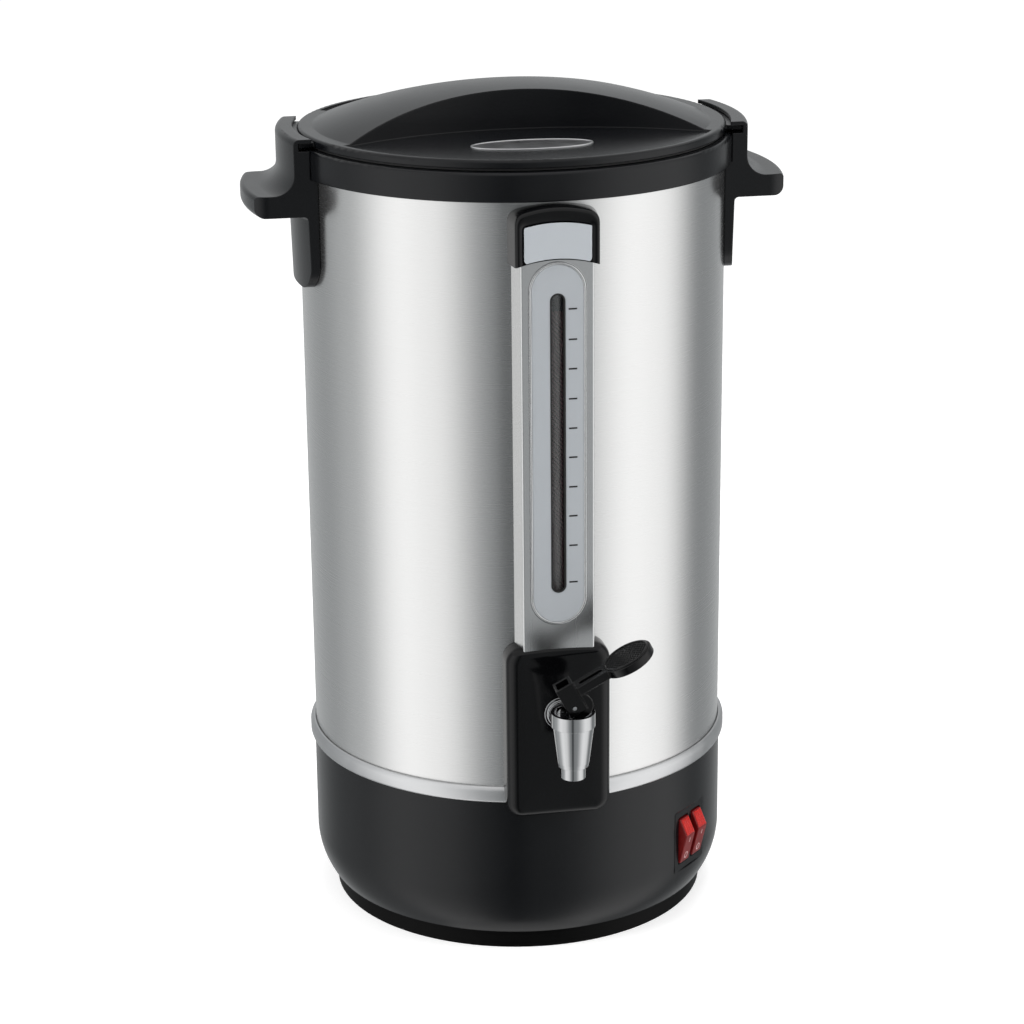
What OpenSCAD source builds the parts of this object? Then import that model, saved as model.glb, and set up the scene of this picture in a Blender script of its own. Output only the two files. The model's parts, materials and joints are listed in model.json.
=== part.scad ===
// Hot water urn: a double-walled drink dispenser with a sight gauge, a lever tap and a twist-lock lid.
// Millimetres. Z is up, the foot ring stands on z = 0 around the Z axis, and the tap faces -Y.

/* [Body] */
// Outside diameter of the steel jacket
body_d = 300; // [240:1:400]
// Sheet thickness of the jacket
jacket_t = 1; // [0.6:0.1:2]
// Height of jacket that shows between base and collar
jacket_h = 424.5; // [330:0.5:600]
// How far the jacket reaches up inside the collar
jacket_tuck = 5.5; // [3:0.5:8]
// Height of the black base housing
base_h = 107; // [95:1:160]
// Wall of the base housing
base_wall = 3; // [2:0.5:5]
// How far the base stands out from the jacket
base_proud = 1; // [0.5:0.1:3]
// Height of the rounded lower part of the base
base_round_h = 32; // [20:1:45]
// How far the base draws in at its lower edge
base_draw = 10; // [5:0.5:16]
// Height of the foot ring
foot_h = 14; // [8:0.5:25]
// Width of the foot ring
foot_w = 14; // [10:0.5:20]
// How far the foot ring steps in under the base
foot_step = 4; // [2:0.5:8]
// Thickness of the bottom pan
pan_t = 1.2; // [0.8:0.1:2.5]
// Height of the silver trim band above the base
band_h = 10; // [6:0.5:16]
// How far the trim band stands out from the jacket
band_proud = 4; // [2.5:0.25:7]
// Height of the collar
collar_h = 19.5; // [14:0.5:30]
// How far the collar stands out from the jacket
collar_proud = 4.5; // [3:0.25:7]
// Radius of the collar's upper edge
collar_round = 2.5; // [1:0.25:4]

/* [Tank] */
// Air space between jacket and tank
tank_gap = 11; // [8:0.5:20]
// Sheet thickness of the tank
tank_t = 1; // [0.6:0.1:2]
// Height of the tank floor above the base housing
tank_rise = 39; // [30:1:60]
// Radius where the tank wall turns into its floor
tank_round = 3; // [2:0.5:20]
// Diameter of the aluminium heat plate
heat_plate_d = 200; // [150:1:210]
// Thickness of the heat plate
heat_plate_t = 3; // [2:0.5:6]
// Diameter of the boiling element's ring
element_ring_d = 160; // [125:1:180]
// Diameter of the boiling element's tube
element_d = 8; // [6:0.1:10]
// Diameter of the keep-warm element's ring
warm_ring_d = 100; // [90:1:112]
// Diameter of the keep-warm element's tube
warm_d = 6.4; // [5:0.1:8]
// Diameter of the tie rods
rod_d = 6; // [5:0.5:8]

/* [Gauge] */
// Width of the gauge channel's face
channel_w = 49; // [42:0.5:60]
// How far the channel stands out from the jacket
channel_depth = 13; // [12:0.5:18]
// How much wider each side of the channel is at the jacket
channel_flare = 5; // [2:0.5:8]
// Sheet thickness of the channel
channel_t = 1.2; // [0.8:0.1:1.6]
// Width of the scale panel
panel_w = 35; // [28:0.5:37]
// Width of the slot in the scale panel
slot_w = 8.2; // [8:0.1:14]
// Outside diameter of the sight tube
tube_d = 8; // [6:0.1:9]
// Wall of the sight tube
tube_wall = 1.2; // [0.8:0.1:1.6]
// Width of the gauge cap's face
cap_w = 57; // [54:0.5:70]
// Height of the gauge cap
cap_h = 39.5; // [30:0.5:50]
// How far the gauge cap stands out from the channel
cap_proud = 3; // [2:0.25:5]

/* [Tap] */
// Width of the tap shield
shield_w = 73; // [64:0.5:90]
// Height of the tap shield
shield_h = 127; // [110:1:150]
// How far the shield stands out from the gauge channel
shield_proud = 3; // [3:0.25:5]
// Wall of the tap shield
shield_wall = 2.5; // [2:0.1:2.5]
// Height of the tap's shank above the base housing
tap_rise = 71; // [66:0.5:80]
// Distance of the tap's outlet from the jacket
tap_reach = 60; // [56:0.5:80]
// Diameter of the tap's shank
shank_d = 16; // [14:0.5:18]
// Bore of the tap's shank
shank_bore = 10; // [8:0.5:11]
// Diameter of the tap cup's rim
cup_d = 30; // [28:0.5:36]
// Height of the tap cup's rim above the shank
cup_rise = 17.5; // [15:0.5:22]
// Diameter of the nozzle
nozzle_d = 16.8; // [14:0.2:18]
// Bore of the nozzle
nozzle_bore = 13.2; // [10:0.2:13.6]
// Length of the nozzle
nozzle_l = 8.5; // [6:0.5:16]
// Diameter of the tap's stem
stem_d = 5.8; // [5:0.1:6.4]
// Lift of the stem when the tap is open
tap_lift = 2.2; // [1.6:0.1:2.6]
// Travel of the lever in degrees
lever_travel = 30; // [24:1:34]
// Rise of the resting lever in degrees
lever_angle = 28; // [20:1:36]
// Length of the lever from its pin
lever_l = 65.5; // [60:0.5:80]
// Width of the lever's paddle
paddle_w = 34; // [24:0.5:36]
// Length of the lever's paddle
paddle_l = 36.5; // [36:0.5:42]
// Thickness of the lever's arm
lever_t = 6; // [4:0.25:7]
// Diameter of the lever's pin
pin_d = 3; // [2:0.1:3.4]

/* [Handles] */
// Width of each handle along the rim
handle_w = 94; // [80:1:110]
// How far each handle reaches out from the jacket
handle_reach = 41; // [35:0.5:55]
// Thickness of the handle's grip
grip_t = 15; // [12:0.5:20]
// Drop from the collar's top to the grip's top
grip_drop = 30; // [26:0.5:40]
// Length of the tongue below the grip
tongue_l = 53; // [35:1:80]
// Thickness of the tongue on the jacket
tongue_t = 7; // [6:0.25:10]
// Corner radius of the tongue
tongue_round = 20; // [8:1:30]
// Thickness of the upright beside the collar
upright_t = 10.5; // [9:0.25:14]

/* [Lid] */
// Height of the dome above the lid's rim
lid_crown = 31.5; // [26:0.5:45]
// Thickness of the lid's rim
rim_t = 5.5; // [4.5:0.25:8]
// Wall of the lid
lid_wall = 2.5; // [2:0.25:3.5]
// Width of the grip bar in its middle
bar_w = 54; // [44:1:70]
// Radius of the grip bar's sides in plan
bar_round = 207; // [170:1:300]
// Depth of the finger floor below the rim's top
floor_sink = 1.5; // [0.5:0.25:2]
// Thickness of the lid's lugs
lug_t = 3.2; // [2.5:0.1:4]
// How far the lugs stand out from the rim
lug_reach = 11; // [9:0.25:14]
// Depth of the lid pan's skirt
skirt_h = 11; // [6:0.5:12]

/* [Switches] */
// Direction of the switch plate from the tap in degrees
switch_angle = 46; // [40:1:55]
// Height of the switch plate's middle
switch_z = 62; // [56:0.5:75]
// Width of the switch plate
switch_w = 40; // [39:0.5:50]
// Height of the switch plate
switch_h = 47; // [45:0.5:55]
// Width of each rocker
rocker_w = 12; // [10:0.1:14]
// Height of each rocker
rocker_h = 34.5; // [30:0.5:36.5]
// Height of the rocker's ridge above the plate
rocker_ridge = 8; // [5:0.25:10]
// Height of the appliance inlet's middle
inlet_z = 58; // [50:0.5:75]

/* [Fits] */
// Clearance between fixed pieces
fit = 0.1; // [0.05:0.01:0.2]
// Radial running clearance of pins and stems
run = 0.05; // [0.02:0.01:0.1]
// Gap between pieces that move past each other
move_gap = 0.4; // [0.3:0.05:0.5]
// Diameter of the small screws
screw_d = 4; // [3:0.25:5]

/* [Part] */
// Node to draw, or all

/* [Hidden] */
$fn = 72;
eps = 0.01;

// Levels and radii of the body
body_r = body_d / 2;
base_r = body_r + base_proud;
base_low_r = base_r - base_draw;
foot_r = base_low_r - foot_step;
foot_in_r = foot_r - foot_w;
base_top = foot_h + base_h;
jacket_top = base_top + jacket_h;
jacket_end = jacket_top + jacket_tuck;
collar_top = jacket_top + collar_h;
collar_r = body_r + collar_proud;
band_r = body_r + band_proud;
jacket_in_r = body_r - jacket_t;
tank_r = jacket_in_r - tank_gap;
tank_in_r = tank_r - tank_t;
tank_z = base_top + tank_rise;
tank_rim_t = tank_t;
base_arc = (base_draw * base_draw + base_round_h * base_round_h) / (2 * base_draw);
collar_in_r = tank_r + 2;

// Foot and bottom
flange_t = 3;
foot_screw_r = foot_r - foot_w / 2;
foot_screws = 4;
foot_screw_turn = 45;
screw_head_d = screw_d * 1.8;
screw_head_t = screw_d * 0.65;
boss_d = screw_d + 6;
boss_h = 13;
rods = 3;
rod_r = foot_in_r - rod_d * 1.9;
rod_turn = 30;
rod_nut_w = rod_d * 1.7;
rod_nut_t = rod_d * 0.85;
rod_tail = 3;
vents = 9;
vent_r = rod_r * 0.62;
vent_w = 5;
vent_l = 26;

// Heating
element_z = tank_z - heat_plate_t - element_d / 2 - fit;
warm_z = tank_z - heat_plate_t - warm_d / 2 - fit;
element_gap = 34;
tail_l = 22;
terminal_w = 6.3;
terminal_t = 0.8;
terminal_l = 8;
cutout_d = 16;
thermostat_d = 26;
thermostat_h = 13;
cutout_h = 11;
cutout_x = thermostat_d / 2 + cutout_d / 2 + 5;

// Gauge
channel_y = body_r + channel_depth;
channel_round = 1.2;
panel_flange = 2;
panel_flange_t = 1;
panel_proud = 0.4;
lip_w = 1.8;
lip_t = 0.8;
trim_w = 1;
slot_margin = 22;
slot_margin_top = 20.3;
backing_t = 1;
backing_w = slot_w + 3;
seal_t = 0.8;
socket_wall = 1;
tube_r = tube_d / 2;
socket_r = tube_r + seal_t + fit;
elbow_r = socket_r + socket_wall;
backing_y = body_r + fit;
tube_y = max(backing_y + backing_t + tube_r + move_gap, body_r + elbow_r + fit);
shield_z = base_top - 8;
shield_top = shield_z + shield_h;
cap_top = jacket_top - 1.5;
cap_z = cap_top - cap_h;
cap_y = channel_y + cap_proud;
cap_flare = 2.5;
cap_round = 3;
cap_arch = 6.5;
cap_hollow = 4.5;
cap_roof = 4 + cap_arch;
channel_z = shield_top - 8;
channel_top = cap_top - cap_roof - 2;
panel_z = shield_top + 17;
panel_top = cap_z + 1;
panel_h = panel_top - panel_z;
slot_z = panel_z + slot_margin;
slot_top = panel_top - slot_margin_top;
elbow_z = shield_top - 12;
elbow_top = shield_top + 3;
elbow_low = elbow_z - 6;
elbow_shank_d = 9;
elbow_bore = 5;
elbow_nut_w = 15;
elbow_nut_t = 5;
washer_t = 1.5;
tube_low = elbow_top - 9;
tube_top = cap_top - cap_roof - 3;
cap_socket_l = 14;
plate_w = cap_w - 12;
plate_h = cap_h - 12.5;
plate_low = 2.5;
plate_round = 3;
plate_rise = 2.8;
plate_arch = 3.1;
plate_t = 1;
plate_sink = 0.8;

// Shield
shield_y = channel_y + shield_proud;
shield_round = 9;
shield_corner = 14;
shield_arch = 3;
shield_boss_w = 3;

// Tap
tap_z = base_top + tap_rise;
tap_y = body_r + tap_reach;
shank_r = shank_d / 2;
shank_end = tank_in_r - 18;
cup_r = cup_d / 2;
cup_top = tap_z + cup_rise;
cup_rim_h = 9.5;
cup_step = 0.8;
cup_low_r = nozzle_d / 2 + 2.6;
cup_low = tap_z - 18;
cup_shoulder = 3;
nozzle_z = cup_low - cup_shoulder - nozzle_l;
cup_wall = 2.2;
bonnet_r = cup_r - cup_wall;
bonnet_t = 6;
bonnet_sink = 4.8;
bonnet_top = cup_top - bonnet_sink;
bonnet_z = bonnet_top - bonnet_t;
chamber_r = bonnet_r - 1.4;
chamber_z = cup_low + 2;
chamber_low_r = cup_low_r - cup_wall;
seat_r = 4.6;
cam_t = 1.2;
cam_d = 17;
cam_z = bonnet_top + move_gap;
cam_top = cam_z + cam_t;
stem_r = stem_d / 2;
pin_rise = 8;
pin_z = cam_top + pin_rise;
plug_r = seat_r + 2;
plug_h = 8;
plug_z = chamber_z + move_gap;
spring_wire = 1.2;
spring_r = stem_r + spring_wire / 2 + 0.9;
spring_turns = 5;
spring_z = plug_z + plug_h + spring_wire / 2 + fit;
spring_end = bonnet_z - spring_wire / 2 - fit;
flange_d = 23;
flange_step_d = 19;
flange_disc_t = 3;
flange_step_t = 2.2;
nut_w = 26;
nut_t = 8;

// Lever, in its own plane with the pin at the origin
cam_swing = lever_travel / 2;
cam_e = tap_lift / (2 * sin(cam_swing));
cam_r = pin_rise - move_gap + cam_e * sin(cam_swing);
lever_half = 6;
clevis_half = 3;
clevis_gap = 0.4;
head_x = 7.5;
head_back = 5.5;
head_half = 7.5;
head_low = -4.5;
head_top = 17.5;
arm_low = 6;
arm_half = 7;
arm_slot_l = 18;
arm_slot_w = 4;
arm_slot_depth = 3;
paddle_x = lever_l - paddle_l / 2;
paddle_end_r = 12.5;
eye_r = 3.6;

// Handles
handle_r = body_r + handle_reach;
tongue_r = body_r + tongue_t;
slot_in = collar_r + 0.3;
upright_r = slot_in + upright_t;
grip_top = collar_top - grip_drop;
grip_low = grip_top - grip_t;
tongue_low = grip_low - tongue_l;
grip_fillet = 14;
grip_round = 6;
grip_lip_round = 3;
tongue_draft = 1.3;
hook_round = 4;
handle_corner = 16;
handle_screw_rise = [14, tongue_l * 0.55];

// Lid
gasket_gap = 0.3;
gasket_t = 1.7;
rim_z = collar_top + gasket_gap + gasket_t;
rim_top = rim_z + rim_t;
rim_r = body_r;
rim_round = rim_t * 0.45;
lug_r = rim_r + lug_reach;
lug_angle = asin((handle_w / 2 - 2) / lug_r);
lug_top = rim_z + lug_t;
hook_z = lug_top + move_gap;
hook_t = 2.6;
hook_in = rim_r + 3.6;
hook_slot_r = lug_r + 1;
hook_floor = collar_top + fit;
dome_z = rim_z + 1;
dome_r = (rim_r * rim_r + lid_crown * lid_crown) / (2 * lid_crown);
dome_c = dome_z + lid_crown - dome_r;
floor_z = rim_top - floor_sink;
floor_r = rim_r - 5;
bar_c = bar_w / 2 + bar_round;
lid_in_r = floor_r - 9;
lid_boss_x = 70;
lid_screw_l = 12;
pan_lid_t = 1.2;
pan_lid_r = collar_in_r - 1.2;
gasket_in = collar_in_r + 1.5;
gasket_out = rim_r - 2;

// Switches and inlet
plate_flange_t = 2.5;
plate_dist = base_r + fit + plate_flange_t;
switch_sink = 1.1;
switch_round = 1.5;
switch_flange_t = 1.5;
switch_dist = base_r - switch_sink;
plate_skirt = 10;
plate_skirt_w = switch_w - 3;
plate_skirt_h = switch_h - 5;
rocker_gap = 5.2;
rocker_pitch = rocker_w + rocker_gap;
rocker_pivot = 3;
rocker_back = 4;
rocker_swing = norm([rocker_pivot + 1, rocker_h / 2]);
rocker_nub_d = 2.4;
rocker_nub_l = 1.2;
switch_depth = 18;
inlet_w = 50;
inlet_h = 30;
inlet_body_w = 28;
inlet_body_h = 20;
inlet_depth = 24;
inlet_hole_w = 24.4;
inlet_hole_h = 16.4;
inlet_hole_depth = 17;
inlet_chamfer = 4;
inlet_pin_pitch = 7;
inlet_screw_x = 20;

// Least gap between neighbouring turns of the tap spring
spring_pitch = (spring_end - spring_z) / spring_turns;
echo(spring_gap = spring_pitch - spring_wire);

// Flat outlines

// Upright slot outline with round ends, centred
module slot_2d(w, h) {
    square([w, h - w], center = true);
    for (s = [-1, 1])
        translate([0, s * (h - w) / 2])
            circle(d = w);
}

// Rectangle with round corners, centred
module round_rect(w, h, r) {
    square([w - 2 * r, h], center = true);
    square([w, h - 2 * r], center = true);
    for (sx = [-1, 1], sy = [-1, 1])
        translate([sx * (w / 2 - r), sy * (h / 2 - r)])
            circle(r = r);
}

// Plate with an arched top, standing on y = 0
module arched_2d(w, h, r, rise) {
    arch_r = (w * w / 4 + rise * rise) / (2 * rise);
    intersection() {
        translate([0, h / 2])
            round_rect(w, h, r);
        translate([0, h - arch_r])
            circle(r = arch_r, $fn = 180);
    }
}

// Plan of a cover on the jacket: a face with round corners and sides that flare towards the body
module cover_plan(face_w, flare, face_y, back_y, r) {
    half = face_w / 2;
    slope = atan2(flare, face_y - back_y);
    cx = half + r * tan(slope) - r / cos(slope);
    tx = cx + r * cos(slope);
    ty = r - r * sin(slope) - face_y;
    polygon([[-half - flare, -back_y], [half + flare, -back_y], [tx, ty], [cx, -face_y],
        [-cx, -face_y], [-tx, ty]]);
    for (m = [-1, 1])
        translate([m * cx, r - face_y])
            circle(r = r);
}

// Stands a flat outline up so that it faces the front at depth y and reaches t towards the body
module stand(y, z, t) {
    translate([0, -y, z])
        rotate([90, 0, 0])
            translate([0, 0, -t])
                linear_extrude(t)
                    children();
}

// Round bar along Y between two distances in front of the axis
module bar_y(r, y_out, y_in, z) {
    translate([0, -y_out, z])
        rotate([-90, 0, 0])
            cylinder(r = r, h = y_out - y_in);
}

// Copies spread evenly round the Z axis
module around(n, turn) {
    for (i = [0 : n - 1])
        rotate(turn + i * 360 / n)
            children();
}

// Bottom of the urn

module foot_ring() {
    color("#151517")
        difference() {
            rotate_extrude()
                union() {
                    translate([foot_in_r, 0])
                        square([foot_w, foot_h - pan_t]);
                    translate([foot_r - 2, 0])
                        square([2, foot_h]);
                }
            around(foot_screws, foot_screw_turn)
                translate([foot_screw_r, 0, -1]) {
                    cylinder(d = screw_d + 4 * fit, h = foot_h + 2);
                    cylinder(d = screw_head_d + 1, h = 1 + foot_h * 0.45);
                }
        }
}

module bottom_pan() {
    color("#a9abad")
        difference() {
            translate([0, 0, foot_h - pan_t])
                cylinder(r = foot_r - 2 - fit, h = pan_t);
            around(foot_screws, foot_screw_turn)
                translate([foot_screw_r, 0, 0])
                    cylinder(d = screw_d + 4 * fit, h = foot_h + 1);
            around(rods, rod_turn)
                translate([rod_r, 0, 0])
                    cylinder(d = rod_d + 4 * fit, h = foot_h + 1);
            around(vents, 0)
                translate([vent_r, 0, 0])
                    linear_extrude(foot_h + 1)
                        slot_2d(vent_w, vent_l);
        }
}

module bottom_screws() {
    color("#8a8c8e")
        around(foot_screws, foot_screw_turn)
            translate([foot_screw_r, 0, foot_h * 0.45 - screw_head_t]) {
                cylinder(d = screw_head_d, h = screw_head_t);
                cylinder(d = screw_d, h = foot_h * 0.55 + screw_head_t + flange_t + boss_h * 0.6);
            }
}

// Outside of the base in section, drawn in by d
module base_outline(d) {
    arc_x = base_r - base_arc;
    arc_z = foot_h + base_round_h;
    intersection() {
        translate([0, foot_h])
            square([base_r - d, base_h]);
        union() {
            translate([0, arc_z])
                square([base_r - d, base_h]);
            square([max(arc_x, 1), arc_z]);
            translate([arc_x, arc_z])
                circle(r = base_arc - d, $fn = 180);
        }
    }
}

// Places children on the switch plate: X to the right, Y up and Z outwards
module at_switch() {
    rotate(switch_angle)
        translate([0, -switch_dist, switch_z])
            rotate([90, 0, 0])
                children();
}

// Places children on the appliance inlet at the back
module at_inlet() {
    rotate(180)
        translate([0, -plate_dist, inlet_z])
            rotate([90, 0, 0])
                children();
}

module base_housing() {
    color("#1a1a1c")
        difference() {
            union() {
                rotate_extrude($fn = 144)
                    union() {
                        difference() {
                            base_outline(0);
                            translate([0, -eps])
                                base_outline(base_wall);
                            square([base_low_r - base_wall - 6, base_top + 1]);
                        }
                        translate([foot_in_r, foot_h])
                            square([base_low_r - base_wall - foot_in_r, flange_t]);
                    }
                around(foot_screws, foot_screw_turn)
                    translate([foot_screw_r, 0, foot_h])
                        cylinder(d = boss_d, h = flange_t + boss_h);
            }
            around(foot_screws, foot_screw_turn)
                translate([foot_screw_r, 0, foot_h - 1])
                    cylinder(d = screw_d + 2 * fit, h = flange_t + boss_h);
            at_switch() {
                cube([plate_skirt_w + 4 * fit, plate_skirt_h + 4 * fit, 60], center = true);
                translate([0, 0, -switch_flange_t - fit])
                    linear_extrude(20)
                        round_rect(switch_w + 4 * fit, switch_h + 4 * fit, switch_round + 2 * fit);
            }
            at_inlet() {
                cube([inlet_body_w + 4 * fit, inlet_body_h + 4 * fit, 60], center = true);
                for (s = [-1, 1])
                    translate([s * inlet_screw_x, 0, -30])
                        cylinder(d = screw_d + 2 * fit, h = 60);
            }
        }
}

module trim_band() {
    color("#b9bbbd")
        rotate_extrude($fn = 144)
            polygon([[body_r + fit, base_top], [base_r + fit, base_top], [base_r + fit, base_top - 1.4],
                [band_r - 1, base_top - 1.4], [band_r, base_top + 0.6], [band_r, base_top + band_h * 0.62],
                [band_r - 1, base_top + band_h * 0.8], [band_r - 2.2, base_top + band_h],
                [body_r + fit, base_top + band_h]]);
}

// Walls

// Places children on a handle's side: right for s = 1, left for s = -1
module on_side(s) {
    rotate(s > 0 ? 0 : 180)
        children();
}

module outer_body() {
    color("#c9cacb")
        difference() {
            translate([0, 0, base_top])
                cylinder(r = body_r, h = jacket_h + jacket_tuck, $fn = 180);
            translate([0, 0, base_top - 1])
                cylinder(r = jacket_in_r, h = jacket_h + jacket_tuck + 2, $fn = 180);
            bar_y(shank_r + 2 * fit, body_r + 5, body_r - 20, tap_z);
            bar_y(elbow_shank_d / 2 + 2 * fit, body_r + 5, body_r - 20, elbow_z);
            for (s = [-1, 1], rise = handle_screw_rise)
                on_side(s)
                    translate([body_r - 10, 0, handle_screw_z(rise)])
                        rotate([0, 90, 0])
                            cylinder(d = screw_d + 4 * fit, h = 20);
        }
}

// Outside of the tank in section, drawn in by d
module tank_outline(d) {
    r = tank_r - d;
    z = tank_z + d;
    k = tank_round - d;
    translate([0, z])
        square([r - k, k + eps]);
    translate([0, z + k])
        square([r, jacket_end + tank_rim_t - z - k]);
    translate([r - k, z + k])
        circle(r = k);
}

module inner_tank() {
    color("#d2d3d4")
        difference() {
            rotate_extrude($fn = 144)
                union() {
                    difference() {
                        intersection() {
                            tank_outline(0);
                            translate([0, tank_z])
                                square([tank_r, jacket_end + tank_rim_t - tank_z]);
                        }
                        intersection() {
                            tank_outline(tank_t);
                            translate([-1, tank_z])
                                square([tank_r + 1, jacket_end + tank_rim_t - tank_z + 1]);
                        }
                        translate([0, jacket_end])
                            square([tank_in_r, tank_rim_t + 1]);
                    }
                    translate([tank_in_r, jacket_end])
                        square([body_r - 0.6 - tank_in_r, tank_rim_t]);
                }
            bar_y(shank_r + 2 * fit, tank_r + 5, tank_in_r - 20, tap_z);
            bar_y(elbow_shank_d / 2 + 2 * fit, tank_r + 5, tank_in_r - 20, elbow_z);
        }
}

module collar() {
    color("#1b1b1d")
        rotate_extrude($fn = 144)
            difference() {
                translate([collar_in_r, jacket_top])
                    square([collar_r - collar_in_r, collar_h]);
                translate([0, jacket_top - 1])
                    square([body_r + 2 * fit, jacket_tuck + tank_rim_t + 1]);
                translate([collar_r - collar_round, collar_top - collar_round])
                    difference() {
                        square(collar_round + 1);
                        circle(r = collar_round);
                    }
            }
}

// Handles

// Height of a handle screw that lies rise above or below the grip's underside
function handle_screw_z(rise) = rise == handle_screw_rise[0] ? grip_low + grip_t / 2 : grip_low - rise;

// Depth of a handle screw's hole measured from the jacket
function handle_screw_l(rise) = rise == handle_screw_rise[0] ? upright_t + 2 : tongue_t - 2;

// Section of a handle: tongue, grip, upright and hook
module handle_section() {
    in_r = body_r + 2 * fit;
    difference() {
        union() {
            polygon([[in_r, tongue_low], [tongue_r - tongue_draft, tongue_low], [tongue_r, grip_low],
                [tongue_r, grip_low + 1], [in_r, grip_low + 1]]);
            translate([in_r, grip_low])
                square([upright_r - in_r, jacket_top - 2 * fit - grip_low]);
            translate([in_r, grip_low + grip_round])
                square([handle_r - in_r, grip_t - grip_round - grip_lip_round]);
            translate([in_r, grip_low])
                square([handle_r - grip_round - in_r, grip_t - grip_lip_round]);
            translate([in_r, grip_top - grip_lip_round - eps])
                square([handle_r - grip_lip_round - in_r, grip_lip_round + eps]);
            translate([handle_r - grip_round, grip_low + grip_round])
                circle(r = grip_round);
            translate([handle_r - grip_lip_round, grip_top - grip_lip_round])
                circle(r = grip_lip_round);
            translate([upright_r - eps, grip_top - eps])
                difference() {
                    square(grip_fillet);
                    translate([grip_fillet, grip_fillet])
                        circle(r = grip_fillet);
                }
            translate([slot_in, grip_top])
                square([upright_r - slot_in, hook_z + hook_t - grip_top]);
            translate([hook_in, hook_z])
                square([upright_r - hook_in, hook_t]);
            translate([tongue_r - eps, grip_low - 3])
                difference() {
                    square([3, 3 + eps]);
                    translate([3, 0])
                        circle(r = 3);
                }
        }
        translate([slot_in - 5, hook_floor])
            square([hook_slot_r - slot_in + 5, hook_z - hook_floor]);
        translate([upright_r - hook_round, hook_z + hook_t - hook_round])
            difference() {
                square(hook_round + 1);
                circle(r = hook_round);
            }
    }
}

// One handle on the +X side
module handle_shape() {
    spread = asin(handle_w / 2 / body_r) + 6;
    difference() {
        intersection() {
            rotate_extrude(angle = 2 * spread, start = -spread, $fn = 144)
                handle_section();
            translate([body_r - 30, 0, tongue_low])
                rotate([90, 0, 90])
                    linear_extrude(handle_reach + 40)
                        translate([0, 150])
                            round_rect(handle_w, 300, tongue_round);
            linear_extrude(collar_top + 50)
                translate([handle_r + 1 - 50, 0])
                    round_rect(100, handle_w, handle_corner);
        }
        for (rise = handle_screw_rise)
            translate([body_r - 10, 0, handle_screw_z(rise)])
                rotate([0, 90, 0])
                    cylinder(d = screw_d + 2 * fit, h = 10 + handle_screw_l(rise) + 1);
    }
}

module handle_left() {
    color("#1c1c1e")
        mirror([1, 0, 0])
            handle_shape();
}

module handle_right() {
    color("#1c1c1e")
        handle_shape();
}

module handle_screws() {
    seat = sqrt(jacket_in_r * jacket_in_r - screw_head_d * screw_head_d / 4) - fit;
    color("#8a8c8e")
        for (s = [-1, 1], rise = handle_screw_rise)
            on_side(s)
                translate([seat, 0, handle_screw_z(rise)])
                    rotate([0, 90, 0]) {
                        translate([0, 0, -screw_head_t])
                            cylinder(d = screw_head_d, h = screw_head_t);
                        cylinder(d = screw_d, h = body_r - seat + handle_screw_l(rise));
                    }
}

// Heating

module heat_plate() {
    color("#b4b6b8")
        translate([0, 0, tank_z - heat_plate_t])
            cylinder(d = heat_plate_d, h = heat_plate_t);
}

// Ring of heater tube with an opening of gap at the back and two tails that end in terminal pins
module heater(ring_d, tube, gap, z) {
    open = asin(gap / ring_d);
    inset = asin(1.3 * tube / ring_d);
    tail = tube * 0.8;
    rotate_extrude(angle = 360 - 2 * open, start = 90 + open)
        translate([ring_d / 2, z])
            circle(d = tube);
    for (s = [-1, 1])
        rotate(90 + s * (open + inset))
            translate([ring_d / 2, 0, z - tail_l]) {
                cylinder(d = tail, h = tail_l);
                translate([0, 0, -terminal_l])
                    cylinder(d = 2.5, h = terminal_l + 1);
            }
}

module heating_element() {
    color("#5a5048")
        heater(element_ring_d, element_d, element_gap, element_z);
}

module keep_warm_element() {
    color("#5a5048")
        heater(warm_ring_d, warm_d, element_gap, warm_z);
}

// Round snap-action can under the heat plate with two flat terminals
module snap_can(d, h) {
    z = tank_z - heat_plate_t - fit;
    translate([0, 0, z - h * 0.35])
        cylinder(d = d, h = h * 0.35);
    translate([0, 0, z - h])
        cylinder(d = d * 0.82, h = h * 0.65 + eps);
    for (s = [-1, 1])
        translate([s * d * 0.24 - terminal_t / 2, -terminal_w / 2, z - h - terminal_l])
            cube([terminal_t, terminal_w, terminal_l + 1]);
}

module thermostat() {
    color("#c8bfae")
        snap_can(thermostat_d, thermostat_h);
}

module thermal_cutout() {
    color("#d8d4cc")
        translate([cutout_x, 0, 0])
            snap_can(cutout_d, cutout_h);
}

module tie_rods() {
    color("#9a9c9e")
        around(rods, rod_turn)
            translate([rod_r, 0, foot_h - pan_t - rod_nut_t - rod_tail])
                cylinder(d = rod_d, h = tank_z - foot_h + pan_t + rod_nut_t + rod_tail);
}

module tie_nuts() {
    color("#8a8c8e")
        around(rods, rod_turn)
            translate([rod_r, 0, foot_h - pan_t - rod_nut_t])
                difference() {
                    cylinder(d = rod_nut_w / cos(30), h = rod_nut_t, $fn = 6);
                    translate([0, 0, -1])
                        cylinder(d = rod_d + 2 * fit, h = rod_nut_t + 2);
                }
}

module terminal_block() {
    ways = 4;
    pitch = 11;
    color("#e6e1d2")
        translate([-30, 20, foot_h])
            difference() {
                union() {
                    translate([-ways * pitch / 2, -11, 0])
                        cube([ways * pitch, 22, 12]);
                    translate([-ways * pitch / 2, -5, 0])
                        cube([ways * pitch, 10, 19]);
                }
                for (i = [0 : ways - 1], s = [-1, 1])
                    translate([(i - (ways - 1) / 2) * pitch, s * 8, 4])
                        cylinder(d = 5, h = 20);
            }
}

// Gauge

// Plan of the gauge channel grown by d, out to depth y
module channel_plan(d, y) {
    cover_plan(channel_w + 2 * d, channel_flare, y, body_r - 8, channel_round);
}

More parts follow.
